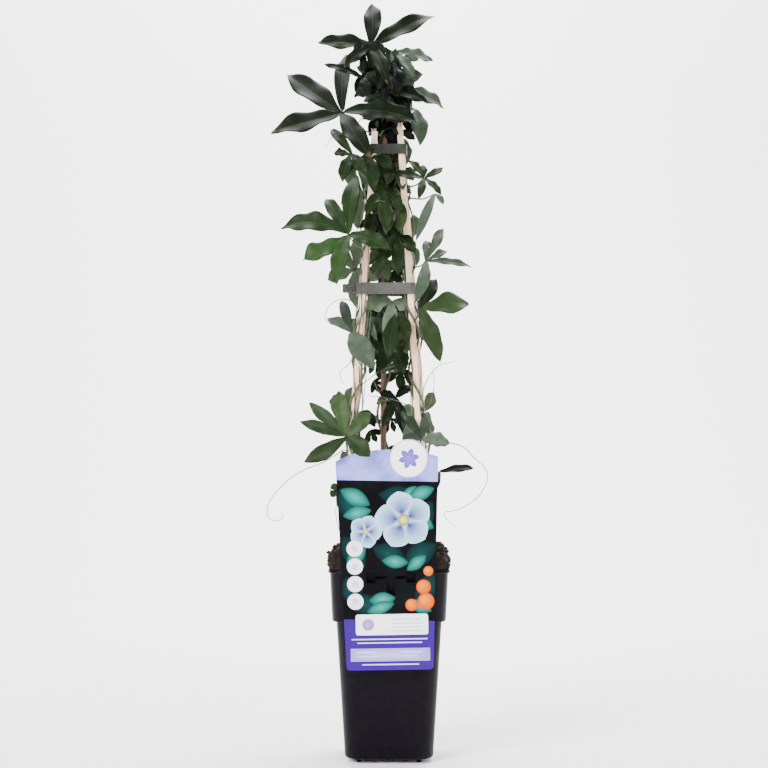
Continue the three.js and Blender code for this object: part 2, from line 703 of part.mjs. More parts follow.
const VINES = [
  {
    // climbs the middle cane and carries the crown
    name: "vine_centre",
    stem: [
      [-2, 12, 150],
      [-1, 12, 200],
      ...winding(CENTRE_CANE, 225, 585, 82),
      [-6, 3, 620],
      [-12, 4, 652],
    ],
    leaves: [
      leaf([-16, 0, 657], FRONT, [
        lobe(1, 45, 17),
        lobe(59, 36, 18),
        lobe(-50, 3, 16),
        lobe(15, -39, 13),
        lobe(-25, -23, 12),
      ]),
      leaf([-1, -8, 640], [0.1, -0.85, 0.5], [lobe(9, -33, 17), lobe(-9, -28, 15)]),
      leaf([-24, -14, 624], FRONT, [lobe(-36, 14, 8), lobe(5, -19, 11)]),
      leaf([5, 10, 652], [0.2, -0.7, 0.7], [lobe(36, -7, 12), lobe(18, -26, 10)]),
      leaf([8, 8, 616], FRONT_RIGHT, [lobe(44, -13, 14), lobe(12, 16, 18)]),
      leaf([-7, -9, 616], FRONT, [lobe(42, -14, 14), lobe(-25, -9, 12), lobe(2, -27, 12)]),
      leaf([-43, -18, 592], [-0.1, -0.75, 0.65], [
        lobe(-52, 42, 23),
        lobe(-65, -18, 20),
        lobe(3, 62, 15),
        lobe(70, -10, 21),
        lobe(26, -46, 19),
      ]),
      leaf([24, 6, 599], FRONT_RIGHT, [lobe(5, -36, 16), lobe(-19, -10, 12)]),
      leaf([9, 4, 549], FRONT, [lobe(4, -27, 13), lobe(-11, -22, 13)]),
      leaf([6, -17, 514], FRONT, [lobe(-9, -34, 15), lobe(4, -34, 14), lobe(-6, 11, 9)]),
      leaf([-12, -8, 506], FRONT, [lobe(-7, -30, 15), lobe(8, -27, 14)]),
      leaf([-4, -24, 520], FRONT, [
        lobe(-17, -24, 13),
        lobe(2, -40, 14),
        lobe(15, -20, 12),
        lobe(-12, 10, 11),
      ]),
      leaf([6, -20, 480], FRONT, [
        lobe(-13, -28, 13),
        lobe(2, -38, 13),
        lobe(18, -17, 13),
        lobe(-12, 12, 12),
      ]),
      leaf([-3, -14, 456], FRONT, [lobe(-13, -9, 9), lobe(2, -19, 9), lobe(15, -8, 9)]),
      leaf([3, -8, 420], FRONT, [lobe(-1, -48, 14), lobe(-24, -7, 18), lobe(14, -8, 13)]),
      leaf([9, -21, 409], FRONT, [lobe(-10, -42, 15), lobe(8, -28, 13)]),
      leaf([4, -14, 382], FRONT, [lobe(-14, -26, 15), lobe(9, -30, 16), lobe(-18, 3, 12)]),
      leaf([6, -12, 331], FRONT, [
        lobe(15, 12, 9),
        lobe(-15, 4, 8),
        lobe(6, -31, 11),
        lobe(-12, -26, 10),
      ]),
      leaf([2, 24, 628], BACK, [
        lobe(30, 6, 13),
        lobe(4, 27, 12),
        lobe(-32, 12, 14),
        lobe(-22, -26, 12),
        lobe(20, -24, 12),
      ]),
    ],
    tendrils: [
      [[-12, 0, 606], [-22, -8, 592], [-36, -22, 575], [-52, -26, 568], [-58, -24, 558]],
      [[-8, -16, 500], [-17, -32, 499], [-11, -36, 509], [-1, -36, 507], [1, -35, 497], [-6, -35, 493]],
    ],
  },
  {
    // climbs the left front cane
    name: "vine_left",
    stem: [
      [-19, -20, 150],
      [-20, -24, 205],
      ...winding(CANES.cane_front_left, 233, 530, 66),
    ],
    leaves: [
      leaf([-17, -28, 550], FRONT, [
        lobe(-18, -14, 14),
        lobe(3, -34, 13),
        lobe(20, -10, 13),
        lobe(-4, 14, 10),
      ]),
      leaf([-34, -24, 553], FRONT_LEFT, [
        lobe(-21, 28, 10),
        lobe(-17, 3, 10),
        lobe(-8, -27, 12),
        lobe(14, -20, 12),
      ]),
      leaf([-37, -36, 479], [-0.15, -0.8, 0.6], [
        lobe(7, 60, 16),
        lobe(-22, 38, 13),
        lobe(-62, 7, 19),
        lobe(-41, -22, 20),
        lobe(-10, -46, 16),
        lobe(38, -15, 16),
      ]),
      leaf([-34, -34, 391], FRONT_LEFT, [
        lobe(-10, 31, 10),
        lobe(-23, 13, 10),
        lobe(20, -32, 21),
      ]),
      leaf([-38, -61, 297], [-0.1, -0.95, 0.3], [
        lobe(-7, 41, 18),
        lobe(21, 22, 15),
        lobe(-34, 30, 12),
        lobe(-42, 13, 11),
        lobe(-38, -23, 14),
        lobe(21, -18, 16),
      ]),
      leaf([-46, -26, 247], FRONT_LEFT, [lobe(-7, 5, 7), lobe(-7, -6, 8), lobe(9, -22, 10)]),
    ],
    tendrils: [
      [
        [-40, -37, 284],
        [-50, -32, 278],
        [-63, -27, 271],
        [-78, -25, 265],
        [-92, -24, 256],
        [-100, -24, 248],
        [-107, -24, 240],
        [-111, -24, 230],
        [-110, -24, 222],
        [-103, -25, 219],
        [-97, -26, 222],
        [-98, -27, 227],
      ],
      [[-31, -30, 236], [-42, -30, 240], [-48, -29, 232], [-48, -29, 222], [-44, -30, 206]],
      [[-32, -31, 368], [-36, -34, 362], [-45, -34, 353], [-41, -35, 344]],
      [[-22, -28, 345], [-13, -31, 352], [-5, -31, 357], [8, -30, 360], [20, -32, 358]],
      [[-17, -24, 418], [-19, -27, 380], [-22, -29, 340], [-26, -33, 300], [-29, -34, 258]],
    ],
  },
  {
    // climbs the right front cane
    name: "vine_right",
    stem: [
      [17, -18, 150],
      [18, -23, 205],
      ...winding(CANES.cane_front_right, 233, 526, -66),
    ],
    leaves: [
      leaf([32, -18, 532], FRONT_RIGHT, [
        lobe(-1, 14, 7),
        lobe(-14, 18, 8),
        lobe(-29, 3, 9),
        lobe(-5, -20, 8),
        lobe(16, -16, 7),
        lobe(18, 11, 7),
      ]),
      leaf([42, -14, 518], FRONT_RIGHT, [lobe(-18, -46, 9), lobe(8, -10, 6)]),
      leaf([34, -22, 456], FRONT_RIGHT, [
        lobe(16, 32, 11),
        lobe(1, 21, 10),
        lobe(42, -4, 7),
        lobe(20, 11, 8),
        lobe(-10, -38, 12),
      ]),
      leaf([29, -26, 413], [0.15, -0.85, 0.5], [
        lobe(45, 5, 20),
        lobe(17, -50, 17),
        lobe(14, 28, 15),
      ]),
      leaf([29, -42, 294], FRONT_RIGHT, [
        lobe(26, -4, 13),
        lobe(-17, 1, 8),
        lobe(7, 25, 10),
        lobe(-18, 25, 9),
      ]),
      leaf([46, -32, 264], FRONT_RIGHT, [lobe(32, 3, 7), lobe(-8, -20, 8)]),
    ],
    tendrils: [
      [
        [33, -36, 286],
        [44, -30, 290],
        [55, -26, 290],
        [68, -24, 286],
        [77, -24, 277],
        [88, -24, 266],
        [90, -24, 258],
        [84, -24, 244],
        [74, -25, 235],
        [62, -26, 229],
        [50, -28, 226],
        [54, -28, 219],
        [62, -27, 213],
      ],
      [[31, -30, 338], [35, -27, 348], [45, -23, 360], [60, -22, 364]],
      [[31, -30, 318], [38, -26, 328], [41, -24, 342], [40, -24, 356]],
      [[22, -27, 322], [16, -33, 325], [-2, -33, 331], [-20, -33, 333]],
    ],
  },
  {
    // climbs the left back cane
    name: "vine_back_left",
    stem: [
      [-20, 22, 150],
      [-24, 24, 205],
      ...winding(CANES.cane_back_left, 233, 520, 99),
    ],
    leaves: [
      leaf([-24, 36, 524], BACK_LEFT, [
        lobe(4, 34, 13),
        lobe(-16, 24, 14),
        lobe(-22, -10, 13),
        lobe(-6, -32, 14),
        lobe(24, -12, 13),
      ]),
      leaf([-32, 44, 452], BACK_LEFT, [
        lobe(8, 36, 14),
        lobe(-22, 26, 14),
        lobe(-26, -10, 15),
        lobe(2, -36, 14),
        lobe(30, -8, 14),
      ]),
      leaf([-22, 46, 388], BACK, [
        lobe(4, 34, 14),
        lobe(-22, 16, 13),
        lobe(-12, -30, 13),
        lobe(20, -26, 14),
        lobe(30, 12, 13),
      ]),
      leaf([-38, 50, 310], BACK_LEFT, [
        lobe(6, 34, 14),
        lobe(-16, 24, 13),
        lobe(-20, -12, 13),
        lobe(6, -34, 14),
        lobe(30, -4, 14),
      ]),
      leaf([-34, 52, 258], BACK, [lobe(-10, 22, 12), lobe(4, -26, 12), lobe(26, 8, 12)]),
    ],
    tendrils: [
      [[-32, 38, 420], [-46, 46, 424], [-58, 48, 416], [-60, 46, 404], [-54, 46, 400]],
    ],
  },
  {
    // climbs the right back cane
    name: "vine_back_right",
    stem: [
      [18, 24, 150],
      [22, 26, 205],
      ...winding(CANES.cane_back_right, 233, 536, -99),
    ],
    leaves: [
      leaf([12, 32, 546], BACK_RIGHT, [
        lobe(-14, 28, 13),
        lobe(2, 27, 13),
        lobe(12, -10, 11),
        lobe(-2, -32, 13),
        lobe(-26, -4, 13),
      ]),
      leaf([17, 40, 478], BACK_RIGHT, [
        lobe(-10, 34, 14),
        lobe(8, 25, 12),
        lobe(9, -22, 12),
        lobe(-10, -34, 14),
        lobe(-30, 2, 14),
      ]),
      leaf([22, 46, 404], BACK_RIGHT, [
        lobe(-8, 36, 14),
        lobe(16, 20, 13),
        lobe(14, -18, 13),
        lobe(-12, -34, 14),
        lobe(-32, -2, 14),
      ]),
      leaf([30, 50, 316], BACK_RIGHT, [
        lobe(-6, 30, 14),
        lobe(12, 20, 12),
        lobe(10, -24, 12),
        lobe(-16, -28, 14),
        lobe(-22, 2, 13),
      ]),
      leaf([22, 52, 252], BACK, [lobe(12, 24, 12), lobe(-8, -26, 12), lobe(-26, 8, 12)]),
    ],
    tendrils: [],
  },
];

const stemCurve = ({ stem }) => new THREE.CatmullRomCurve3(stem.map(vec), false, "centripetal");

/** The stem's point nearest to a leaf's hub, where that leaf's petiole leaves it. */
function nodeFor(curve, hub) {
  const low = new THREE.Vector3(hub.x, hub.y, hub.z - 9);
  let best = curve.getPointAt(0);
  for (let i = 0; i <= 300; i += 1) {
    const point = curve.getPointAt(i / 300);
    if (point.distanceTo(low) < best.distanceTo(low)) best = point;
  }
  return best;
}

/** The petiole's course: out of the stem, then arching up into the leaf's hub. */
function petiolePoints(curve, { hub, face }) {
  const start = nodeFor(curve, hub);
  const end = hub.clone().addScaledVector(face, -0.1);
  const middle = start.clone().lerp(end, 0.55);
  middle.z -= 0.12 * start.distanceTo(end);
  return [start, middle, end];
}

/** A vine's stem, petioles and tendrils. */
function skeleton(vine, grow = 0) {
  const curve = stemCurve(vine);
  const steps = Math.round(curve.getLength() / STEM_STEP);
  const parts = [tube(vine.stem.map(vec), STEM_RADIUS + grow, 5, steps)];
  for (const one of vine.leaves) {
    parts.push(tube(petiolePoints(curve, one), PETIOLE_RADIUS + grow, 3, 4));
  }
  for (const points of vine.tendrils) {
    const course = points.map(vec);
    course.unshift(nodeFor(curve, course[0]));
    parts.push(tube(course, TENDRIL_RADIUS + grow, 4, 1 + Math.round(1.7 * points.length)));
  }
  return parts;
}

/** A whole vine, fused. */
function vineBody(vine, grow = 0) {
  return join([...skeleton(vine, grow), ...vine.leaves.map((one) => leafBlade(one, grow))]);
}

// ------------------------------------------------------------------------ assembly

function finish(colour, roughness, metalness = 0) {
  return new THREE.MeshStandardMaterial({ color: colour, roughness, metalness });
}

const plant = new THREE.Group();
function place(name, body, material) {
  const mesh = new THREE.Mesh(surface(body), material);
  mesh.name = name;
  plant.add(mesh);
}

const caneNames = Object.keys(CANES);
const caneRoom = join([
  ...caneNames.map((name) => splitCane(CANES[name], GAP)),
  bambooCane(GAP),
]);
const bandRoom = join([band(STRAP, GAP), strapTail(GAP), band(TOP_BAND, GAP)]);
const labelRoom = labelBody(GAP);
const skeletonRooms = VINES.map((vine) => join(skeleton(vine, GAP)));

// Each vine is trimmed clear of the canes, bands and label, of the other vines' stems, and of
// the leaves of the vines before it.
const placedRooms = [];
const vineBodies = VINES.map((vine, i) => {
  const stemsBefore = skeletonRooms.slice(0, i);
  const stemsAfter = skeletonRooms.slice(i + 1);
  const bare = cut(join(skeleton(vine)), [caneRoom, bandRoom, labelRoom, ...stemsBefore]);
  const blades = cut(join(vine.leaves.map((one) => leafBlade(one))), [
    caneRoom,
    bandRoom,
    labelRoom,
    ...stemsBefore,
    ...stemsAfter,
  ]);
  const body = largest(cut(bare.add(blades), placedRooms));
  placedRooms.push(vineBody(vine, GAP));
  return body;
});

place("pot", buildPot(), finish(COLOURS.pot, 0.45));
const soil = largest(cut(soilBody(), [caneRoom, ...skeletonRooms, labelRoom]));
place("soil", soil, finish(COLOURS.soil, 0.95));
for (const name of caneNames) place(name, splitCane(CANES[name]), finish(COLOURS.cane, 0.7));
place("cane_centre", bambooCane(), finish(COLOURS.bamboo, 0.55));
const strap = largest(band(STRAP).add(strapTail()).subtract(caneRoom));
place("strap_middle", strap, finish(COLOURS.strap, 0.5));
place("band_top", largest(band(TOP_BAND).subtract(caneRoom)), finish(COLOURS.band, 0.55));
place("label", labelBody(), finish(COLOURS.label, 0.4));
VINES.forEach(({ name }, i) => place(name, vineBodies[i], finish(COLOURS.leaf, 0.45)));

export default plant;
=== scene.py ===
"""A young climbing passion flower in a deep square nursery pot, with its canes and hang label."""

import logging
import math
import random
from dataclasses import dataclass, field
from enum import Enum
from itertools import product

import bmesh
import bpy
from mathutils import Matrix, Vector, noise


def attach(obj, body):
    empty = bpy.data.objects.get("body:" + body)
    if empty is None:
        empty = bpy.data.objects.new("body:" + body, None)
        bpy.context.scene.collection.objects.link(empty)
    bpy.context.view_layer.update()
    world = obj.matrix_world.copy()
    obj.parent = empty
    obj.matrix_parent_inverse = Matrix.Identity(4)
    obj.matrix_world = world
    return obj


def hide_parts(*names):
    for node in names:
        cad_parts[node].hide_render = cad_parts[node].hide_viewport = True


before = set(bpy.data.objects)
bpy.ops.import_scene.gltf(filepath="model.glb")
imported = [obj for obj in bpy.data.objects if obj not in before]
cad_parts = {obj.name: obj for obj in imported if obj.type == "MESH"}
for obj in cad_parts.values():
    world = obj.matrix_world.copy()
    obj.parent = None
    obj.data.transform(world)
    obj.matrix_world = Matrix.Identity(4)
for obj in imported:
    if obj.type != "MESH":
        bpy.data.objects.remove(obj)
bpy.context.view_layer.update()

MM = 0.001
TURN = 2 * math.pi
RIGHT_ANGLE = math.pi / 2
log = logging.getLogger("passion_flower")

Colour = tuple[float, float, float, float]
Place = tuple[float, float, float]
Course = list[Place]
Spot = tuple[float, float]
Outline = list[Spot]
Levels = list[tuple[Outline, float]]
Inks = tuple[str, str]


# ------------------------------------------------------------------------- small helpers


def linear(code: str) -> Colour:
    """Turns an sRGB hex colour into the linear one that shaders take.

    Args:
        code: the colour as "#rrggbb".

    Returns:
        Linear red, green, blue and an alpha of 1.
    """
    parts = [int(code[i : i + 2], 16) / 255 for i in (1, 3, 5)]
    red, green, blue = (p / 12.92 if p <= 0.04045 else ((p + 0.055) / 1.055) ** 2.4 for p in parts)
    return red, green, blue, 1.0


def point(values: Place) -> Vector:
    """A point in metres from one in millimetres."""
    return Vector(values) * MM


def per_metre(mm: float) -> float:
    """A pattern's scale, from the size of one of its repeats in millimetres."""
    return 1 / (mm * MM)


def between(start: float, end: float, share: float) -> float:
    """The number that lies a share of the way from one to another."""
    return start + (end - start) * share


def clamped(value: float, low: float = 0.0, high: float = 1.0) -> float:
    """The number, or the limit that it passes."""
    return min(max(value, low), high)


def join(node: bpy.types.Node, links: dict[str | int, object]) -> None:
    """Gives each of a node's inputs, by name or number, a constant or an output to read.

    Args:
        node: the node to feed.
        links: for each input, by name or number, a constant or an output.
    """
    for key, value in links.items():
        if isinstance(value, bpy.types.NodeSocket):
            node.id_data.links.new(value, node.inputs[key])
        else:
            node.inputs[key].default_value = value


def add(
    tree: bpy.types.NodeTree,
    kind: str,
    links: dict[str | int, object] | None = None,
    out: str | int = 0,
    stops: tuple[tuple[float, str], ...] = (),
    **settings: object,
) -> bpy.types.NodeSocket:
    """Adds a node with its settings and links.

    Args:
        tree: the material's node tree.
        kind: the node's type, less the words ShaderNode.
        links: for each input, by name or number, a constant or an output to join to it.
        out: the output to give back, by name or number.
        stops: the positions and colours of a ramp's two ends.
        settings: the node's own settings.

    Returns:
        The new node's output.
    """
    made = tree.nodes.new("ShaderNode" + kind)
    for key, value in settings.items():
        setattr(made, key, value)
    for i, (position, colour) in enumerate(stops):
        made.color_ramp.elements[i].position = position
        made.color_ramp.elements[i].color = linear(colour)
    join(made, links or {})
    return made.outputs[out]


def new_object(name: str, data: bpy.types.ID) -> bpy.types.Object:
    """Puts a mesh, curve, light or camera in the scene as an object at the origin.

    Args:
        name: the object's name.
        data: its mesh, curve, light or camera.

    Returns:
        The new object.
    """
    made = bpy.data.objects.new(name, data)
    bpy.context.scene.collection.objects.link(made)
    return made


def shade(mesh: bpy.types.Mesh, smooth: bool = True) -> None:
    """Shades all of a mesh's faces smooth or flat."""
    mesh.polygons.foreach_set("use_smooth", [smooth] * len(mesh.polygons))


def as_mesh(bm: bmesh.types.BMesh, name: str, smooth: bool = True) -> bpy.types.Mesh:
    """Turns a bmesh into a mesh, shaded smooth or flat, and frees it.

    Args:
        bm: the geometry, freed here.
        name: the mesh's name.
        smooth: whether its faces are shaded smooth.

    Returns:
        The new mesh.
    """
    mesh = bpy.data.meshes.new(name)
    bm.to_mesh(mesh)
    bm.free()
    shade(mesh, smooth)
    return mesh


def worked_out(piece: bpy.types.Object) -> bpy.types.Mesh:
    """The mesh that a piece's modifiers or its curve's bevel give.

    Args:
        piece: the mesh or curve object.

    Returns:
        The new mesh, which the object doesn't use yet.
    """
    bpy.context.view_layer.update()
    depsgraph = bpy.context.evaluated_depsgraph_get()
    return bpy.data.meshes.new_from_object(piece.evaluated_get(depsgraph))


def register(piece: bpy.types.Object, replaces: tuple[str, ...] = ()) -> None:
    """Puts a piece on the part's one body and hides the nodes that it stands for.

    Args:
        piece: the finished object.
        replaces: the nodes that it stands for.
    """
    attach(piece, "root")
    if replaces:
        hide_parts(*replaces)
    log.info("%s: %d faces", piece.name, len(piece.data.polygons))


def finished(
    name: str,
    bm: bmesh.types.BMesh,
    materials: list[bpy.types.Material],
    replaces: tuple[str, ...] = (),
    smooth: bool = True,
) -> bpy.types.Object:
    """Turns a bmesh into a piece that rides on the part's one body.

    Args:
        name: the piece's name.
        bm: its geometry, freed here.
        materials: its materials, in the order of the faces' indices.
        replaces: the nodes that it stands for.
        smooth: whether its faces are shaded smooth.

    Returns:
        The new object.
    """
    made = new_object(name, as_mesh(bm, name, smooth))
    for material in materials:
        made.data.materials.append(material)
    register(made, replaces)
    return made


def rounded_box(
    left: float, right: float, low: float, high: float, radius: float, steps: int = 5
) -> Outline:
    """The outline of a rectangle with round corners, anticlockwise from its right side.

    Args:
        left: its left side, as all its sizes in millimetres.
        right: its right side.
        low: its lower side.
        high: its upper side.
        radius: the corner radius.
        steps: the steps along each corner's arc.

    Returns:
        The corners' points in turn.
    """
    outline: Outline = []
    for corner, (x, y) in enumerate(((right, high), (left, high), (left, low), (right, low))):
        cx = x - math.copysign(radius, x - (left + right) / 2)
        cy = y - math.copysign(radius, y - (low + high) / 2)
        for i in range(steps + 1):
            angle = RIGHT_ANGLE * (corner + i / steps)
            outline.append((cx + radius * math.cos(angle), cy + radius * math.sin(angle)))
    return outline


def lofted(
    name: str, levels: Levels, look: bpy.types.Material, node: str, crease: float
) -> bpy.types.Object:
    """Makes a closed piece by wrapping a grid round outlines of equal count, one above another.

    Args:
        name: the piece's name.
        levels: each outline in millimetres with its height.
        look: its material.
        node: the node that it stands for.
        crease: the angle in degrees from which its edges are sharp.

    Returns:
        The new object.
    """
    bm = bmesh.new()
    rises, sides = len(levels) - 1, len(levels[0][0])
    made = bmesh.ops.create_grid(bm, x_segments=rises, y_segments=sides, size=1.0)["verts"]
    for vert in made:
        outline, z = levels[round((vert.co.x + 1) / 2 * rises)]
        vert.co = point((*outline[round((vert.co.y + 1) / 2 * sides) % sides], z))
    bmesh.ops.remove_doubles(bm, verts=made, dist=0.001 * MM)
    bmesh.ops.holes_fill(bm, edges=[edge for edge in bm.edges if edge.is_boundary])
    bmesh.ops.recalc_face_normals(bm, faces=bm.faces)
    piece = finished(name, bm, [look], (node,))
    piece.data.set_sharp_from_angle(angle=math.radians(crease))
    return piece


def carve(target: bpy.types.Object, tool: bmesh.types.BMesh, operation: str) -> None:
    """Joins a tool to a piece or cuts it out of it, for good.

    Args:
        target: the piece to change.
        tool: the closed tool, freed here.
        operation: the modifier's own word, UNION or DIFFERENCE.
    """
    mesh = as_mesh(tool, "tool", False)
    other = new_object("tool", mesh)
    modifier = target.modifiers.new("carve", "BOOLEAN")
    modifier.operation = operation
    modifier.solver = "EXACT"
    modifier.object = other
    old = target.data
    target.data = worked_out(target)
    target.modifiers.clear()
    bpy.data.objects.remove(other)
    bpy.data.meshes.remove(mesh)
    bpy.data.meshes.remove(old)


def upright(bm: bmesh.types.BMesh, foot: Place, high: float, r1: float, r2: float) -> None:
    """Adds a round peg that stands upright.

    Args:
        bm: the geometry to add to.
        foot: the middle of its lower end, in millimetres.
        high: the height of its upper end.
        r1: its radius at the foot.
        r2: its radius at the top.
    """
    x, y, low = foot
    middle = Matrix.Translation(point((x, y, (low + high) / 2)))
    radii = {"radius1": r1 * MM, "radius2": r2 * MM}
    bmesh.ops.create_cone(bm, cap_ends=True, segments=24, **radii, depth=(high - low) * MM, matrix=middle)


def smooth_path(points: list[Vector], per_span: int) -> list[Vector]:
    """A centripetal Catmull-Rom curve through the points.

    Args:
        points: the points to pass through.
        per_span: steps between one point and the next.

    Returns:
        The curve's points, both ends included.
    """
    ends = [2 * points[0] - points[1], *points, 2 * points[-1] - points[-2]]
    course: list[Vector] = []
    for i in range(len(points) - 1):
        p0, p1, p2, p3 = ends[i : i + 4]
        d0, d1, d2 = (max((b - a).length, 1e-9) ** 0.5 for a, b in ((p0, p1), (p1, p2), (p2, p3)))
        t1 = ((p1 - p0) / d0 - (p2 - p0) / (d0 + d1) + (p2 - p1) / d1) * d1
        t2 = ((p2 - p1) / d1 - (p3 - p1) / (d1 + d2) + (p3 - p2) / d2) * d1
        for k in range(per_span):
            w = k / per_span
            square = 3 * (p2 - p1) - 2 * t1 - t2
            cube = 2 * (p1 - p2) + t1 + t2
            course.append(p1 + t1 * w + square * w**2 + cube * w**3)
    course.append(points[-1].copy())
    return course


# ---------------------------------------------------------------------------- finishes

VARNISH = {"Roughness": 0.4, "Specular IOR Level": 0.07}  # a satin coat, low so that inks stay deep


def principled(name: str) -> tuple[bpy.types.Material, bpy.types.NodeTree, bpy.types.Node]:
    """A new material with its tree and its main shader.

    Args:
        name: the material's name.

    Returns:
        The material, its node tree and its main shader.
    """
    material = bpy.data.materials.new(name)
    material.use_nodes = True
    return material, material.node_tree, material.node_tree.nodes["Principled BSDF"]


@dataclass(frozen=True)
class MouldedPlastic:
    """Polypropylene out of a mould: near matte, faintly mottled, with fine scuffs."""

    name: str
    dark: str
    light: str
    roughness: float
    scuff_mm: float = 6.0
    grain_mm: float = 0.5
    grain_depth_mm: float = 0.03
    mirror: float = 0.07

    def material(self) -> bpy.types.Material:
        """Builds the material.

        Returns:
            The new material.
        """
        material, tree, shader = principled(self.name)
        place = add(tree, "TexCoord", out="Object")
        scuffs = add(tree, "TexNoise", {"Vector": place, "Scale": per_metre(self.scuff_mm), "Detail": 6.0})
        grain = add(tree, "TexNoise", {"Vector": place, "Scale": per_metre(self.grain_mm), "Detail": 2.0})
        relief = {"Height": grain, "Distance": self.grain_depth_mm * MM, "Strength": 0.5}
        ends = ((0.35, self.dark), (0.75, self.light))
        worn = {"Value": scuffs, "To Min": self.roughness - 0.06, "To Max": self.roughness + 0.1}
        join(shader, {
            "Base Color": add(tree, "ValToRGB", {"Fac": scuffs}, stops=ends),
            "Roughness": add(tree, "MapRange", worn),
            "Normal": add(tree, "Bump", relief),
            "Specular IOR Level": self.mirror,
        })
        return material


@dataclass(frozen=True)
class Peat:
    """Milled peat: dark brown crumbs with paler fibres, quite dull."""

    name: str
    dark: str
    light: str
    crumb_mm: float = 3.0

    def material(self) -> bpy.types.Material:
        """Builds the material.

        Returns:
            The new material.
        """
        material, tree, shader = principled(self.name)
        place = add(tree, "TexCoord", out="Object")
        scale = {"Vector": place, "Scale": per_metre(self.crumb_mm), "Detail": 8.0, "Roughness": 0.65}
        crumbs = add(tree, "TexNoise", scale)
        ends = ((0.32, self.dark), (0.72, self.light))
        join(shader, {
            "Base Color": add(tree, "ValToRGB", {"Fac": crumbs}, stops=ends),
            "Normal": add(tree, "Bump", {"Height": crumbs, "Distance": 0.8 * MM, "Strength": 0.9}),
            "Roughness": 0.95,
            "Specular IOR Level": 0.25,
        })
        return material


@dataclass(frozen=True)
class Wood:
    """Wood or cane skin: fine fibres along the height, a little stained."""

    name: str
    dark: str
    light: str
    roughness: float
    fibre_mm: float = 0.7
    fibre_draw: float = 40.0
    stain_mm: float = 38.0

    def material(self) -> bpy.types.Material:
        """Builds the material.

        Returns:
            The new material.
        """
        material, tree, shader = principled(self.name)
        place = add(tree, "TexCoord", out="Object")
        across = per_metre(self.fibre_mm)
        drawn = add(tree, "Mapping", {"Vector": place, "Scale": (across, across, across / self.fibre_draw)})
        fibres = add(tree, "TexNoise", {"Vector": drawn, "Scale": 1.0, "Detail": 5.0})
        stain = add(tree, "TexNoise", {"Vector": place, "Scale": per_metre(self.stain_mm), "Detail": 3.0})
        both = add(tree, "Math", {0: stain, 1: 0.6, 2: fibres}, operation="MULTIPLY_ADD")
        join(shader, {
            "Base Color": add(tree, "ValToRGB", {"Fac": both}, stops=((0.6, self.dark), (0.95, self.light))),
            "Normal": add(tree, "Bump", {"Height": fibres, "Distance": 0.12 * MM, "Strength": 0.6}),
            "Roughness": self.roughness,
        })
        return material


@dataclass(frozen=True)
class LeafSkin:
    """A leaf's face or underside: the leaf's own tone with each lobe's painted light in it, veins, and a waxy
    or a dull surface.
    """

    name: str
    veil: str
    veiling: float
    vein: str
    vein_share: float
    roughness: float
    relief_mm: float
    mirror: float
    side_veins: float = 11.0
    vein_slant: float = -1.5
    vein_width: float = 0.07
    mottle_mm: float = 7.0

    def material(self) -> bpy.types.Material:
        """Builds the material.

        Returns:
            The new material.
        """
        material, tree, shader = principled(self.name)
        # the vertex tone: the leaf's green times each lobe's painted light
        tone = add(tree, "Attribute", attribute_name="tone")
        blade = add(tree, "SeparateXYZ", {0: add(tree, "UVMap", uv_map="blade")}).node.outputs
        place = add(tree, "TexCoord", out="Object")
        mottle = add(tree, "TexNoise", {"Vector": place, "Scale": per_metre(self.mottle_mm), "Detail": 5.0})
        # distance from the rib, 0 to 1
        side = add(tree, "Math", {0: blade["Y"], 1: 2.0, 2: -1.0}, operation="MULTIPLY_ADD")
        away = add(tree, "Math", {0: side}, operation="ABSOLUTE")
        slim = {"From Max": self.vein_width, "To Max": 0.0}
        rib = add(tree, "MapRange", {"Value": away, "To Min": 1.0, **slim})
        # side veins leave the rib at a slant
        slant = add(tree, "Math", {0: away, 1: self.vein_slant}, operation="MULTIPLY")
        run = add(tree, "Math", {0: blade["X"], 1: self.side_veins, 2: slant}, operation="MULTIPLY_ADD")
        saw = add(tree, "Math", {0: run, 1: 0.5}, operation="PINGPONG")
        line = add(tree, "MapRange", {"Value": saw, "To Min": 0.3, **slim})
        veins = add(tree, "Math", {0: rib, 1: line}, operation="MAXIMUM", use_clamp=True)
        shown = add(tree, "Math", {0: veins, 1: self.vein_share}, operation="MULTIPLY")
        veiled = add(tree, "Mix", {0: self.veiling, 6: tone, 7: linear(self.veil)}, 2, data_type="RGBA")
        shade = add(tree, "MapRange", {"Value": mottle, "To Min": 0.62, "To Max": 1.35})
        dappled = add(tree, "VectorMath", {0: veiled, "Scale": shade}, operation="SCALE")
        height = add(tree, "Math", {0: mottle, 1: 0.5, 2: veins}, operation="MULTIPLY_ADD")
        relief = {"Height": height, "Distance": abs(self.relief_mm) * MM}
        join(shader, {
            "Base Color": add(tree, "Mix", {0: shown, 6: dappled, 7: linear(self.vein)}, 2, data_type="RGBA"),
            "Normal": add(tree, "Bump", relief, invert=self.relief_mm < 0),
            "Roughness": self.roughness,
            "Specular IOR Level": self.mirror,
        })
        return material


@dataclass(frozen=True)
class Stalk:
    """The skin of stems, petioles or tendrils: smooth and green, with browner stretches."""

    name: str
    dark: str
    light: str
    roughness: float = 0.5
    stretch_mm: float = 14.0

    def material(self) -> bpy.types.Material:
        """Builds the material.

        Returns:
            The new material.
        """
        material, tree, shader = principled(self.name)
        place = add(tree, "TexCoord", out="Object")
        cloud = add(tree, "TexNoise", {"Vector": place, "Scale": per_metre(self.stretch_mm), "Detail": 4.0})
        tint = add(tree, "ValToRGB", {"Fac": cloud}, stops=((0.38, self.dark), (0.62, self.light)))
        join(shader, {"Base Color": tint, "Roughness": self.roughness})
        return material


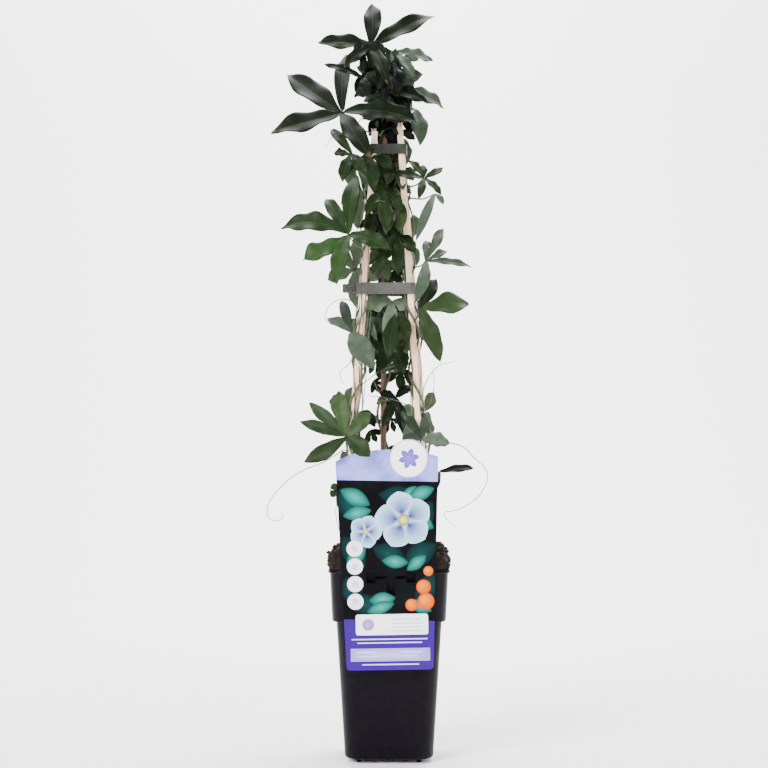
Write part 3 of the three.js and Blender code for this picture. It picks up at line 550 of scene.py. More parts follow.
@dataclass(frozen=True)
class PrintedCard:
    """Coated label card: flat inks in bands from the top down, under a satin varnish."""

    name: str
    header: tuple[str, str]
    picture: tuple[str, str]
    footer: str
    header_foot_mm: float
    picture_foot_mm: float
    tilt: float
    wash_mm: float = 24.0

    def material(self) -> bpy.types.Material:
        """Builds the material.

        Returns:
            The new material.
        """
        material, tree, shader = principled(self.name)
        place = add(tree, "TexCoord", out="Object")
        wash = add(tree, "TexNoise", {"Vector": place, "Scale": per_metre(self.wash_mm), "Detail": 3.0})
        # the card hangs a degree off the vertical, so its bands do too
        parts = add(tree, "SeparateXYZ", {0: place}).node.outputs
        height = add(tree, "Math", {0: parts["X"], 1: -self.tilt, 2: parts["Z"]}, operation="MULTIPLY_ADD")
        ink = linear(self.footer)
        for inks, foot in ((self.picture, self.picture_foot_mm), (self.header, self.header_foot_mm)):
            band = add(tree, "ValToRGB", {"Fac": wash}, stops=tuple(zip((0.4, 0.62), inks)))
            above = add(tree, "Math", {0: height, 1: foot * MM}, operation="GREATER_THAN")
            ink = add(tree, "Mix", {0: above, 6: ink, 7: band}, 2, data_type="RGBA")
        join(shader, {"Base Color": ink, **VARNISH})
        return material


@dataclass(frozen=True)
class PrintedInk:
    """The motifs' inks: each shape's own colour, under the same varnish as the card."""

    name: str
    wash_mm: float = 5.0

    def material(self) -> bpy.types.Material:
        """Builds the material.

        Returns:
            The new material.
        """
        material, tree, shader = principled(self.name)
        ink = add(tree, "Attribute", attribute_name="ink")
        place = add(tree, "TexCoord", out="Object")
        wash = add(tree, "TexNoise", {"Vector": place, "Scale": per_metre(self.wash_mm), "Detail": 3.0})
        shade = add(tree, "MapRange", {"Value": wash, "To Min": 0.86, "To Max": 1.1})
        tinted = add(tree, "VectorMath", {0: ink, "Scale": shade}, operation="SCALE")
        join(shader, {"Base Color": tinted, **VARNISH})
        return material


# -------------------------------------------------------------------------------- pot


@dataclass
class Pot:
    """The deep square nursery pot, moulded in black polypropylene. Its sizes are in millimetres."""

    height: float = 176.0
    lip_width: float = 110.0
    lip_height: float = 2.6
    band_top: float = 107.0
    band_bottom: float = 103.0
    band_foot: float = 131.5
    step: float = 2.4
    fillet: float = 1.4
    body_top: float = 95.5
    body_bottom: float = 80.6
    body_foot: float = 5.0
    base: float = 59.0
    base_height: float = 1.6
    base_corner: float = 9.0
    corner: float = 15.0
    corner_steps: int = 9
    wall: float = 1.3
    floor_bottom: float = 6.0
    floor: float = 1.6
    foot_reach: tuple[float, float] = (27.3, 28.5)
    foot_radius: float = 3.2
    foot_tip: float = 1.76
    root: float = 0.8
    pad_radius: float = 9.0
    drain_offset: float = 22.0
    drain_radius: float = 4.5
    notch_width: float = 6.0
    notch_height: float = 5.4
    crease: float = 38.0
    finish: MouldedPlastic = MouldedPlastic("black polypropylene, moulded", "#050308", "#0b080f", 0.4)

    def outer(self) -> Outline:
        """Widths and heights of the outside from the base's recess up to the lip.

        Returns:
            The profile's points in turn.
        """
        recess, foot = self.base - 2 * self.wall, self.body_foot
        under, lip = self.band_foot - self.step, self.height - self.lip_height
        return [
            (self.body_bottom - 6 * self.wall, self.floor_bottom),
            (recess, self.base_height + 0.3),
            (recess + 0.8, self.base_height),
            (self.base - 0.6, self.base_height),
            (self.base + 0.8, self.base_height + 0.2),
            (self.body_bottom - 2.6, foot - 0.7),
            (self.body_bottom - 0.7, foot + 0.1),
            (self.body_bottom + 0.1, foot + 1.4),
            (self.body_top - 0.1, under - self.fillet),
            (self.body_top + 0.4, under - 0.3),
            (self.body_top + 1.6, under),
            (self.band_bottom - 2.0, under + 0.1),
            (self.band_bottom - 0.7, under + 0.5),
            (self.band_bottom, under + self.fillet),
            (self.band_top, lip - 0.3),
            (self.band_top + 0.4, lip),
            (self.lip_width - 0.8, lip),
            (self.lip_width, lip + 0.5),
            (self.lip_width, self.height - 0.7),
            (self.lip_width - 0.6, self.height - 0.15),
            (self.lip_width - 1.6, self.height),
        ]

    def inner(self) -> Outline:
        """Widths and heights of the inside from the lip down to the floor.

        Returns:
            The profile's points in turn.
        """
        slim = 2 * self.wall
        return [
            (self.band_top - slim + 1.0, self.height),
            (self.band_top - slim, self.height - 0.6),
            (self.band_bottom - slim, self.band_foot + self.step),
            (self.body_top - slim, self.band_foot),
            (self.body_bottom - slim, self.floor_bottom + self.floor),
        ]

    def level(self, width: float, z: float) -> Outline:
        """The outline at a height, with smaller corners round the base.

        Args:
            width: how wide the pot is there, in millimetres.
            z: the height.

        Returns:
            The outline's points in turn.
        """
        share = clamped((z - self.base_height) / (self.body_foot - self.base_height))
        half, corner = width / 2, between(self.base_corner, self.corner, share)
        return rounded_box(-half, half, -half, half, corner, self.corner_steps)

    def build(self) -> None:
        """Makes the pot and gives it its plastic."""
        levels = [(self.level(width, z), z) for width, z in (*self.outer(), *self.inner())]
        pot = lofted("nursery_pot", levels, self.finish.material(), "pot", self.crease)
        pegs, holes = bmesh.new(), bmesh.new()
        root, above = self.floor_bottom + self.root, self.floor_bottom + 2 * self.floor
        for sx, sy in product((-1, 1), (-1, 1)):
            foot = (sx * self.foot_reach[0], sy * self.foot_reach[1], 0)
            upright(pegs, foot, root, self.foot_tip, self.foot_radius)
            hole = (sx * self.drain_offset, sy * self.drain_offset, -1)
            upright(holes, hole, above, self.drain_radius, self.drain_radius)
        upright(pegs, (0, 0, 0), root, self.pad_radius, self.pad_radius)
        carve(pot, pegs, "UNION")
        for side in range(4):
            box = bmesh.ops.create_cube(holes, size=1.0)["verts"]
            size = point((self.notch_width, self.base / 2, 2 * self.notch_height))
            bmesh.ops.scale(holes, vec=size, verts=box)
            bmesh.ops.translate(holes, vec=point((0, -self.body_bottom / 2, 0)), verts=box)
            turned = Matrix.Rotation(RIGHT_ANGLE * side, 3, "Z")
            bmesh.ops.rotate(holes, cent=(0, 0, 0), matrix=turned, verts=box)
        carve(pot, holes, "DIFFERENCE")
        pot.data.set_sharp_from_angle(angle=math.radians(self.crease))


# ----------------------------------------------------------------------------- medium


class Runs:
    """Thin round runs, such as stems or fibres, made as one mesh from one curve."""

    def __init__(self, name: str, roundness: int = 1) -> None:
        """Starts an empty set of runs.

        Args:
            name: the name of the piece that they become.
            roundness: the curve's bevel resolution.
        """
        self.curve = bpy.data.curves.new(name, "CURVE")
        self.curve.dimensions = "3D"
        self.curve.bevel_depth = MM
        self.curve.bevel_resolution = roundness
        self.curve.use_fill_caps = True

    def add(self, course: list[Vector], start: float, end: float, look: int = 0) -> None:
        """Adds a run.

        Args:
            course: its centre line.
            start: its radius at the first point, in millimetres.
            end: its radius at the last point.
            look: the number of its material.
        """
        spline = self.curve.splines.new("POLY")
        spline.points.add(len(course) - 1)
        spline.material_index = look
        for i, (knot, place) in enumerate(zip(spline.points, course)):
            knot.co = (*place, 1.0)
            knot.radius = between(start, end, i / (len(course) - 1))

    def build(self, materials: list[bpy.types.Material], slot: str, replaces: tuple[str, ...] = ()) -> None:
        """Turns the runs into a mesh piece.

        Args:
            materials: the materials, in the order of the runs' looks.
            slot: not used.
            replaces: the nodes that the piece stands for.
        """
        for material in materials:
            self.curve.materials.append(material)
        holder = new_object("holder", self.curve)
        mesh = worked_out(holder)
        shade(mesh)
        bpy.data.objects.remove(holder)
        register(new_object(self.curve.name, mesh), replaces)


@dataclass
class Medium:
    """The peat, heaped over the pot's lip, with loose crumbs, bark and fibres."""

    lip: float = 176.0
    voxel: float = 2.0
    rise: float = 4.0
    crumb_count: int = 900
    fibre_count: int = 170
    label_back: float = -56.6
    label_reach: float = 46.0
    finish: Peat = Peat("milled peat, moist", "#070403", "#22140e")
    fibre_finish: Stalk = Stalk("dry peat fibre", "#2a1a11", "#6e543d", 0.9)
    root_finish: Stalk = Stalk("fine pale root", "#a89a84", "#d8cdb8", 0.7)

    def rough(self, place: Vector) -> float:
        """How far the surface stands out at a place, in millimetres, from coarse to fine.

        Args:
            place: the place, in metres.

        Returns:
            The height of the relief there.
        """
        coarse = noise.fractal(place / (11 * MM), 0.9, 2.1, 3)
        fine = noise.fractal(place / (3.2 * MM), 0.8, 2.2, 3)
        return 0.7 + 1.9 * coarse + 1.2 * fine

    def heap(self) -> bpy.types.Object:
        """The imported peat: the node's own form, remeshed finely and roughened above the lip.

        Returns:
            The heap.
        """
        bm = bmesh.new()
        bm.from_mesh(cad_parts["soil"].data)
        bmesh.ops.remove_doubles(bm, verts=bm.verts, dist=0.01 * MM)
        peat = new_object("peat", as_mesh(bm, "peat"))
        modifier = peat.modifiers.new("remesh", "REMESH")
        modifier.mode = "VOXEL"
        modifier.voxel_size = self.voxel * MM
        peat.data = worked_out(peat)
        peat.modifiers.clear()
        shade(peat.data)
        for vert, normal in zip(peat.data.vertices, [v.normal.copy() for v in peat.data.vertices]):
            above = clamped((vert.co.z / MM - self.lip - 0.5) / self.rise)
            vert.co += normal * (self.rough(vert.co) * above * MM)
            if above > 0:
                vert.co.z = max(vert.co.z, (self.lip + 0.3) * MM)
        peat.data.materials.clear()
        peat.data.materials.append(self.finish.material())
        register(peat, ("soil",))
        return peat

    def crumbs(self, peat: bpy.types.Object) -> None:
        """Loose crumbs lying on the heap and clinging to its sides.

        Args:
            peat: the heap that they lie on.
        """
        rng = random.Random(11)
        spots = [v for v in peat.data.vertices if v.co.z > (self.lip + 2) * MM]
        bm = bmesh.new()
        for _ in range(self.crumb_count):
            spot = rng.choice(spots)
            size = rng.uniform(0.5, 1.9) * MM
            ball = bmesh.ops.create_icosphere(bm, subdivisions=1, radius=size)["verts"]
            stretch = Vector(rng.uniform(0.6, 1.4) for _ in range(3))
            for vert in ball:
                jag = 1 + 0.35 * noise.noise(vert.co / (0.6 * MM) + spot.co * 900)
                vert.co = vert.co * stretch * jag
            bmesh.ops.translate(bm, vec=spot.co + spot.normal * (0.3 * size), verts=ball)
        finished("peat_crumbs", bm, [peat.data.materials[0]], smooth=False)

    def fibres(self, peat: bpy.types.Object) -> None:
        """Fibres, splinters of bark and a few fine roots that stick out of the heap.

        Args:
            peat: the heap that they stick out of.
        """
        rng = random.Random(23)
        spots = [v for v in peat.data.vertices if v.co.z > (self.lip + 3) * MM]
        runs = Runs("peat_fibres")
        for i in range(self.fibre_count):
            spot = rng.choice(spots)
            heading = (spot.normal + Vector(rng.uniform(-1, 1) for _ in range(3)) * 0.9).normalized()
            bend = Vector(rng.uniform(-1, 1) for _ in range(3)) * 0.35
            length = rng.uniform(2.5, 7) * MM
            foot = spot.co - spot.normal * 0.6 * MM
            course = [foot + (heading * w + bend * w * w) * length for w in (0, 0.35, 0.7, 1)]
            for place in course:
                place.z = max(place.z, (self.lip + 0.6) * MM)
            if any(p.y < self.label_back * MM and abs(p.x) < self.label_reach * MM for p in course):
                continue
            runs.add(course, rng.uniform(0.1, 0.26), 0.07, 1 if i % 12 == 0 else 0)
        runs.build([self.fibre_finish.material(), self.root_finish.material()], "soil")

    def build(self) -> None:
        """Makes the heap and what lies on it."""
        peat = self.heap()
        self.crumbs(peat)
        self.fibres(peat)


# ------------------------------------------------------------------------------ canes


@dataclass(frozen=True)
class Cane:
    """A cane's centre line, from its foot in the peat to its top, in millimetres."""

    foot: Place
    top: Place
    bow: float = 0.0

    def at(self, z: float) -> Vector:
        """The centre line's point at a height, in metres.

        Args:
            z: the height, in millimetres.

        Returns:
            The point.
        """
        share = (z - self.foot[2]) / (self.top[2] - self.foot[2])
        middle = Vector(self.foot).lerp(Vector(self.top), share)
        outwards = Vector((self.foot[0], self.foot[1], 0)).normalized()
        return (middle + outwards * (4 * self.bow * share * (1 - share))) * MM


CANES = {
    "front_left": Cane((-41.5, -42, 146), (-13, -8, 576)),
    "front_right": Cane((36.6, -42, 146), (10, -8, 580)),
    "back_left": Cane((-43, 40, 146), (-14, 9, 570), 2.5),
    "back_right": Cane((43, 40, 146), (11, 9, 572), 1.5),
}
CENTRE_CANE = Cane((-6, 4, 60), (-4, 2, 596))
STRAP_HEIGHT = 431.0


@dataclass
class Supports:
    """The four split canes, the round cane in their middle, and the two bands."""

    width: float = 5.6
    depth: float = 4.2
    cane_steps: int = 60
    swell: float = 0.035
    frayed: tuple[tuple[str, int, float], ...] = (("front_left", 8, 3.0), ("front_right", 22, 7.0))
    round_radius: float = 2.8
    round_sides: int = 20
    node_spacing: float = 118.0
    node_start: float = 75.0
    node_swell: tuple[float, float] = (0.5, 3.2)
    node_waist: tuple[float, float, float] = (0.25, 2.0, 5.0)
    rib: Place = (0.75, 0.5, 8.2)
    rib_count: int = 11
    rib_pitch: float = 1.45
    rib_start: tuple[float, float] = (-5.0, -1.95)
    split: Wood = Wood("split bamboo, sawn and dried", "#f0b791", "#ffead6", 0.62)
    skin: Wood = Wood("bamboo skin, weathered", "#2e1d14", "#6a4932", 0.42, 0.9)
    strap: MouldedPlastic = MouldedPlastic("grey nylon strap", "#474843", "#535450", 0.42, 12.0)
    # the ribs' nylon: darker and more mottled than the strap's
    darkened: MouldedPlastic = MouldedPlastic("grey nylon, dirty", "#171614", "#54544e", 0.5, 2.0)
    band: MouldedPlastic = MouldedPlastic("dark polythene band", "#262824", "#383b35", 0.4, 7.0)

    def split_canes(self) -> None:
        """Gives the split canes finer bodies with softened corners and slightly uneven sides."""
        look = self.split.material()
        soft = [(1.0, -0.55), (1.0, 0.55), (0.86, 0.84), (0.55, 1.0), (-0.55, 1.0), (-0.86, 0.84)]
        soft += [(-x, -y) for x, y in soft]
        for number, (name, cane) in enumerate(CANES.items()):
            levels = []
            for i in range(self.cane_steps + 1):
                z = between(cane.foot[2], cane.top[2], i / self.cane_steps)
                middle = cane.at(z) / MM
                grown = 1 + self.swell * noise.noise(Vector((number * 7.3, 0, z / 23)))
                w, d = self.width / 2 * grown, self.depth / 2 * grown
                levels.append(([(middle.x + x * w, middle.y + y * d) for x, y in soft], z))
            lofted(f"split_cane_{name}", levels, look, f"cane_{name}", 35)

    def splinters(self) -> None:
        """Frayed fibres at the sawn tops of the two front canes."""
        rng = random.Random(5)
        runs = Runs("cane_splinters", 0)
        for name, count, reach in self.frayed:
            cane = CANES[name]
            for _ in range(count):
                x = rng.uniform(-0.9, 0.9) * self.width / 2
                y = rng.uniform(-0.9, 0.9) * self.depth / 2
                foot = cane.at(cane.top[2] - 4) + point((x, y, 0))
                sawn = foot + point((0, 0, 4))
                lean = point((rng.uniform(-1.6, 1.6), rng.uniform(-1, 1), reach * rng.uniform(0.5, 1.1)))
                runs.add([foot, sawn, sawn + lean], 0.5, 0.12, rng.randrange(2))
        runs.build([self.split.material(), self.skin.material()], "cane")

    def round_cane(self) -> None:
        """The brown bamboo cane, swollen at its joints and a little waisted beside them."""
        angles = [TURN * i / self.round_sides for i in range(self.round_sides)]
        (swell, spread), (dip, narrow, offset) = self.node_swell, self.node_waist
        levels = []
        z = CENTRE_CANE.foot[2]
        while z <= CENTRE_CANE.top[2]:
            phase = (z - self.node_start) % self.node_spacing
            near = min(phase, self.node_spacing - phase)
            radius = self.round_radius + swell * math.exp(-((near / spread) ** 2))
            radius -= dip * math.exp(-(((near - offset) / narrow) ** 2))
            middle = CENTRE_CANE.at(z) / MM
            ring = [(middle.x + radius * math.cos(a), middle.y + radius * math.sin(a)) for a in angles]
            levels.append((ring, z))
            z += 2.0 if near < 12 else 4.0
        lofted("bamboo_cane", levels, self.skin.material(), "cane_centre", 50)

    def bands(self) -> None:
        """Gives the strap and the upper band their plastics."""
        for node, finish in (("strap_middle", self.strap), ("band_top", self.band)):
            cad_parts[node].material_slots[0].material = finish.material()

    def ribs(self) -> None:
        """The ratchet ribs on the strap's free end, darker and more mottled than the strap."""
        corner = CANES["front_left"].at(STRAP_HEIGHT) / MM
        bm = bmesh.new()
        for i in range(self.rib_count):
            rib = bmesh.ops.create_cube(bm, size=1.0)["verts"]
            bmesh.ops.scale(bm, vec=point(self.rib), verts=rib)
            x, y = corner.x + self.rib_start[0] - self.rib_pitch * i, corner.y + self.rib_start[1]
            bmesh.ops.translate(bm, vec=point((x, y, STRAP_HEIGHT)), verts=rib)
        rounding = {"offset": 0.12 * MM, "segments": 2, "profile": 0.5, "affect": "EDGES", "material": -1}
        bmesh.ops.bevel(bm, geom=bm.edges[:], **rounding)
        finished("strap_ribs", bm, [self.darkened.material()])

    def build(self) -> None:
        """Makes everything that holds the plant up."""
        self.split_canes()
        self.splinters()
        self.round_cane()
        self.bands()
        self.ribs()


# ------------------------------------------------------------------------------ label

CARD_TILT = -0.016

# printed leaves: the root's place on the card, the length, the width and the angle
UNDERGROWTH = (
    (-43, 250, 34, 20, -1.0), (-8, 245, 36, 18, -0.1), (40, 238, 36, 22, -2.2), (-40, 208, 34, 20, -1.0),
    (-14, 198, 32, 18, -0.4), (43, 200, 34, 20, -2.6), (-38, 172, 26, 20, -1.2), (34, 166, 24, 14, -1.9),
    (-38, 152, 34, 18, -0.3), (42, 174, 30, 18, -2.1),
)
SPRAYS = (
    (-42, 250, 30, 15, -0.5), (-40, 226, 26, 13, 0.2), (42, 250, 26, 13, 3.5), (41, 214, 24, 13, 2.6),
    (-20, 200, 26, 13, -2.3), (-6, 186, 24, 12, -0.1), (34, 190, 22, 11, -2.5), (-18, 150, 24, 13, 0.1),
    (-20, 140, 26, 11, 0.3), (38, 140, 22, 12, 2.7), (26, 252, 18, 9, -2.4),
)
BERRIES = ((31, 162, 6.5), (33, 149, 7.5), (20, 146, 5.5), (35.5, 176, 4.5))  # place and radius
SPOT_HEIGHTS = (197, 181, 165.3, 149.6)
# the numbers of the print's layers, from the card up
SPRAY_LAYER, BIG_BLOSSOM_LAYER, SMALL_BLOSSOM_LAYER = 10, 13, 19
PANEL_LAYER, RULE_LAYER, BADGE_LAYER = 25, 26, 27
# plain rules: left, right and lower side in the footer, right and lower side on the panel
FOOTER_RULES = (
    (-34, 34, 115.2), (-29, 29, 112.0), (-25, 26, 92.6), (-30, -12, 103.6), (-30, -8, 100.0),
    (10, 29, 103.6), (10, 24, 100.0),
)
PANEL_RULES = ((30, 122.6), (27, 126.0), (30, 129.4), (27, 132.8))


@dataclass
class Label:
    """The hang label: the printed card and the generic motifs on it."""

    front: float = -57.9
    centre: float = -0.5
    pivot: float = 176.0
    tab: tuple[float, float] = (19.2, 276.8)
    tab_radius: float = 17.2
    layer: float = 0.025
    foot: float = 88.0
    foot_width: float = 78.0
    shoulder: float = 278.0
    shoulder_width: float = 92.0
    rim: float = 0.4
    sheet: bmesh.types.BMesh = field(default_factory=bmesh.new)
    ink: PrintedInk = PrintedInk("printing inks, varnished")
    card: PrintedCard = PrintedCard(
        "coated card, printed", ("#5c5ec2", "#8f91de"), ("#030205", "#050a0c"), "#351376", 257.0, 132.6,
        CARD_TILT,
    )

    def place(self, x: float, z: float, layer: int) -> Vector:
        """A point of the card's face in metres, turned with the card.

        Args:
            x: the way across the card from its middle, in millimetres.
            z: the height on the card.
            layer: how many layers of print lie under it.

        Returns:
            The point.
        """
        rise, cos, sin = z - self.pivot, math.cos(CARD_TILT), math.sin(CARD_TILT)
        across = self.centre + x * cos + rise * sin
        return point((across, self.front - self.layer * (layer + 1), self.pivot + rise * cos - x * sin))

    def half_width(self, z: float) -> float:
        """Half the card's width at a height, less the unprinted rim."""
        share = (z - self.foot) / (self.shoulder - self.foot)
        return between(self.foot_width, self.shoulder_width, share) / 2 - self.rim

    def shape(self, outline: Outline, inks: Inks, layer: int, centre: Spot) -> None:
        """Adds a flat shape whose ink shades from its centre to its rim.

        Args:
            outline: the rim's points on the card, in millimetres.
            inks: the ink at the centre and the ink at the rim.
            layer: how many layers of print lie under it.
            centre: the point that the shading starts from.
        """
        ink = self.sheet.verts.layers.float_color["ink"]
        grid = {"x_segments": 4, "y_segments": len(outline), "size": 1.0}
        made = bmesh.ops.create_grid(self.sheet, **grid)["verts"]
        channels = list(zip(*(linear(code) for code in inks)))
        for vert in made:
            share = (vert.co.x + 1) / 2
            edge = outline[round((vert.co.y + 1) / 2 * len(outline)) % len(outline)]
            x, z = (between(start, end, share) for start, end in zip(centre, edge))
            vert[ink] = [between(start, end, share) for start, end in channels]
            vert.co = self.place(clamped(x, -self.half_width(z), self.half_width(z)), z, layer)
        bmesh.ops.remove_doubles(self.sheet, verts=made, dist=0.001 * MM)

    def disc(
        self, x: float, z: float, radius: float, inks: Inks, layer: int, sides: int = 40, glow: Spot = (0, 0)
    ) -> None:
        """Adds a disc that shades from its glow to its rim.

        Args:
            x: its centre's way across the card, in millimetres.
            z: its centre's height.
            radius: its radius.
            inks: the ink at the glow and the ink at the rim.
            layer: how many layers of print lie under it.
            sides: how many sides it has.
            glow: where its shading starts, off the centre by shares of the radius.
        """
        turns = [TURN * i / sides for i in range(sides)]
        rim = [(x + radius * math.cos(a), z + radius * math.sin(a)) for a in turns]
        self.shape(rim, inks, layer, (x + radius * glow[0], z + radius * glow[1]))

    def blade(
        self, x: float, z: float, length: float, width: float, angle: float, blunt: float = 1.0
    ) -> Outline:
        """A petal's or leaf's outline on the card.

        Args:
            x: the root's way across the card, in millimetres.
            z: the root's height.
            length: the blade's length.
            width: its greatest width.
            angle: the way that it points, from the right upwards.
            blunt: above 1, how far its greatest width moves to the tip.

        Returns:
            The outline's points in turn.
        """
        steps = 20
        along, up = math.cos(angle), math.sin(angle)
        outline: Outline = []
        for side, i in product((1, -1), range(steps)):
            share = i / steps if side > 0 else 1 - i / steps
            half = side * width / 2 * math.sin(math.pi * share**blunt) ** 0.8
            reach = length * share
            outline.append((x + reach * along - half * up, z + reach * up + half * along))
        return outline

    def blossom(self, x: float, z: float, radius: float, turn: float, layer: int) -> None:
        """A plain round blossom with five broad petals, unlike any real one.

        Args:
            x: its centre's way across the card, in millimetres.
            z: its centre's height.
            radius: its petals' length.
            turn: the angle of its first petal.
            layer: how many layers of print lie under it.
        """
        for i in range(5):
            angle = turn + TURN * i / 5
            petal = self.blade(x, z, radius, radius * 0.92, angle, 1.5)
            throat = (x + radius * 0.25 * math.cos(angle), z + radius * 0.25 * math.sin(angle))
            self.shape(petal, ("#261c80", "#a6c8e0"), layer + i, throat)
        self.disc(x, z, radius * 0.2, ("#e0d48c", "#6f7a3a"), layer + 5)

    def leaf(self, plot: tuple[float, ...], inks: Inks, layer: int) -> None:
        """Adds a printed leaf that shades from its middle.

        Args:
            plot: its root's place, its length, its width and its angle, as blade takes them.
            inks: the ink at its middle and the ink at its rim.
            layer: how many layers of print lie under it.
        """
        x, z, length, _, angle = plot
        middle = (x + length / 2 * math.cos(angle), z + length / 2 * math.sin(angle))
        self.shape(self.blade(*plot), inks, layer, middle)

    def panel(self, plot: tuple[float, ...], inks: Inks, layer: int = PANEL_LAYER) -> None:
        """Adds a bare panel or rule with round corners, from its sides and its radius."""
        left, right, low, high, _ = plot
        self.shape(rounded_box(*plot), inks, layer, ((left + right) / 2, (low + high) / 2))

    def build(self) -> None:
        """Prints the card: leaves, blossoms, berries, bare discs and bare panels."""
        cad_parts["label"].material_slots[0].material = self.card.material()
        self.sheet.verts.layers.float_color.new("ink")
        for i, plot in enumerate(UNDERGROWTH):
            self.leaf(plot, ("#0b3534", "#06191b"), i)
        for i, plot in enumerate(SPRAYS):
            self.leaf(plot, ("#2a9184", "#0c4441"), SPRAY_LAYER + i % 3)
        self.blossom(14, 222, 26, 0.5, BIG_BLOSSOM_LAYER)
        self.blossom(-20, 212, 15, 1.2, SMALL_BLOSSOM_LAYER)
        for i, (x, z, radius) in enumerate(BERRIES):
            self.disc(x, z, radius, ("#f0820f", "#b84208"), PANEL_LAYER + i, glow=(-0.3, 0.35))
        for z in SPOT_HEIGHTS:
            self.disc(-30, z, 7.2, ("#f3f2fb", "#e6e4f6"), PANEL_LAYER)
            self.disc(-30, z, 3.2, ("#cfcbe8", "#b9b4df"), RULE_LAYER, 6)
        self.panel((-30, 34.5, 119.5, 138, 2.0), ("#fbfbfd", "#f1f0f8"))
        self.panel((-35, 36, 96, 107.6, 0.6), ("#b6a9d8", "#8f80c6"))
        for left, right, low in FOOTER_RULES:
            self.panel((left, right, low, low + 1.1, 0.5), ("#cfc6ee", "#c3b8e8"), RULE_LAYER)
        for right, low in PANEL_RULES:
            self.panel((2, right, low, low + 0.9, 0.4), ("#c9c6de", "#bdb9d6"), RULE_LAYER)
        self.disc(-19, 128.7, 5.2, ("#a98fd0", "#8466bb"), RULE_LAYER)
        x, z = self.tab[0] - self.centre, self.tab[1]
        self.disc(x, z, self.tab_radius, ("#8f90d8", "#b3b3e6"), PANEL_LAYER, 64)
        self.disc(x, z, self.tab_radius - 1, ("#ffffff", "#fbfaff"), RULE_LAYER, 64)
        for i in range(6):
            petal = self.blade(x, z, 9.5, 5.2, TURN / 6 * i + 0.2, 1.2)
            self.shape(petal, ("#7a68c8", "#5a45ac"), BADGE_LAYER + i % 2, (x, z))
        bmesh.ops.recalc_face_normals(self.sheet, faces=self.sheet.faces)
        for face in self.sheet.faces:
            if face.normal.y > 0:
                face.normal_flip()
        finished("label_print", self.sheet, [self.ink.material()], smooth=False)


# ----------------------------------------------------------------------------- leaves


class Tone(Enum):
    """The greens that the leaves come in, from shaded crown to bright young growth."""

    BLACK = "#070b08"
    DARK = "#0b1208"
    DEEP = "#15220d"
    MID = "#28361e"
    FRESH = "#192a12"
    BRIGHT = "#2c3d22"
    OLIVE = "#3a4020"
    GREY = "#374235"
    PALE = "#5b6955"


BLACK, DARK, DEEP, MID, FRESH, BRIGHT, OLIVE, GREY, PALE = Tone
DRY = "#4c3a26"
# a lobe's half width along its rib, both as shares of their greatest
PROFILE = (
    (0.0, 0.3), (0.14, 0.52), (0.3, 0.8), (0.45, 0.97), (0.58, 1.0), (0.75, 0.84), (0.88, 0.5),
    (0.95, 0.23), (1.0, 0.0),
)
# how far a blade arches along its rib, lifts from it to its edge and ripples at its edge
ARCH, KEEL, RIPPLE = 0.07, 0.2, 0.075
# the share of the room between two lobes that they fill, and the widest gap that counts
WEB, WIDEST_GAP = 0.97, 2.6
# the gap from which a lobe has room to spare, and that room in millimetres
WIDE_GAP, SPARE = 2.4, 1.2
SMALL_LOBE = 27.0  # millimetres, the longest lobe that a coarser grid is enough for
FINE_GRID, COARSE_GRID = (22, 8), (12, 4)


def profile(share: float) -> float:
    """A lobe's half width along its rib, as a share of its greatest.

    Args:
        share: how far along the rib, from 0 at the hub to 1 at the tip.

    Returns:
        The half width, from 0 to 1.
    """
    for (a, low), (b, high) in zip(PROFILE, PROFILE[1:]):
        if share <= b:
            return between(low, high, (share - a) / (b - a))
    return 0.0


@dataclass
class Lobe:
    """A lobe as seen from the front: its tip's reach to the right and up, and its width.

    The bow is how far its middle lies above the straight line to the tip, in millimetres. The
    shade is painted light: how much brighter or darker the lobe is painted than the rest of its
    leaf, paler where its face catches the sheen and darker where it lies in shade.
    """

    right: float
    up: float
    width: float
    bow: float = 0.0
    # painted light: above 1 the lobe is painted paler for sheen, below 1 darker for shade
    shade: float = 1.0


@dataclass
class LobeFrame:
    """A lobe's place in space: its reach, its directions and the room on each side."""

    reach: Vector
    width: float
    angle: float
    normal: Vector
    left: Vector
    bow: float
    # the lobe's painted light, as in Lobe
    shade: float
    gap_left: float = 0.0
    gap_right: float = 0.0


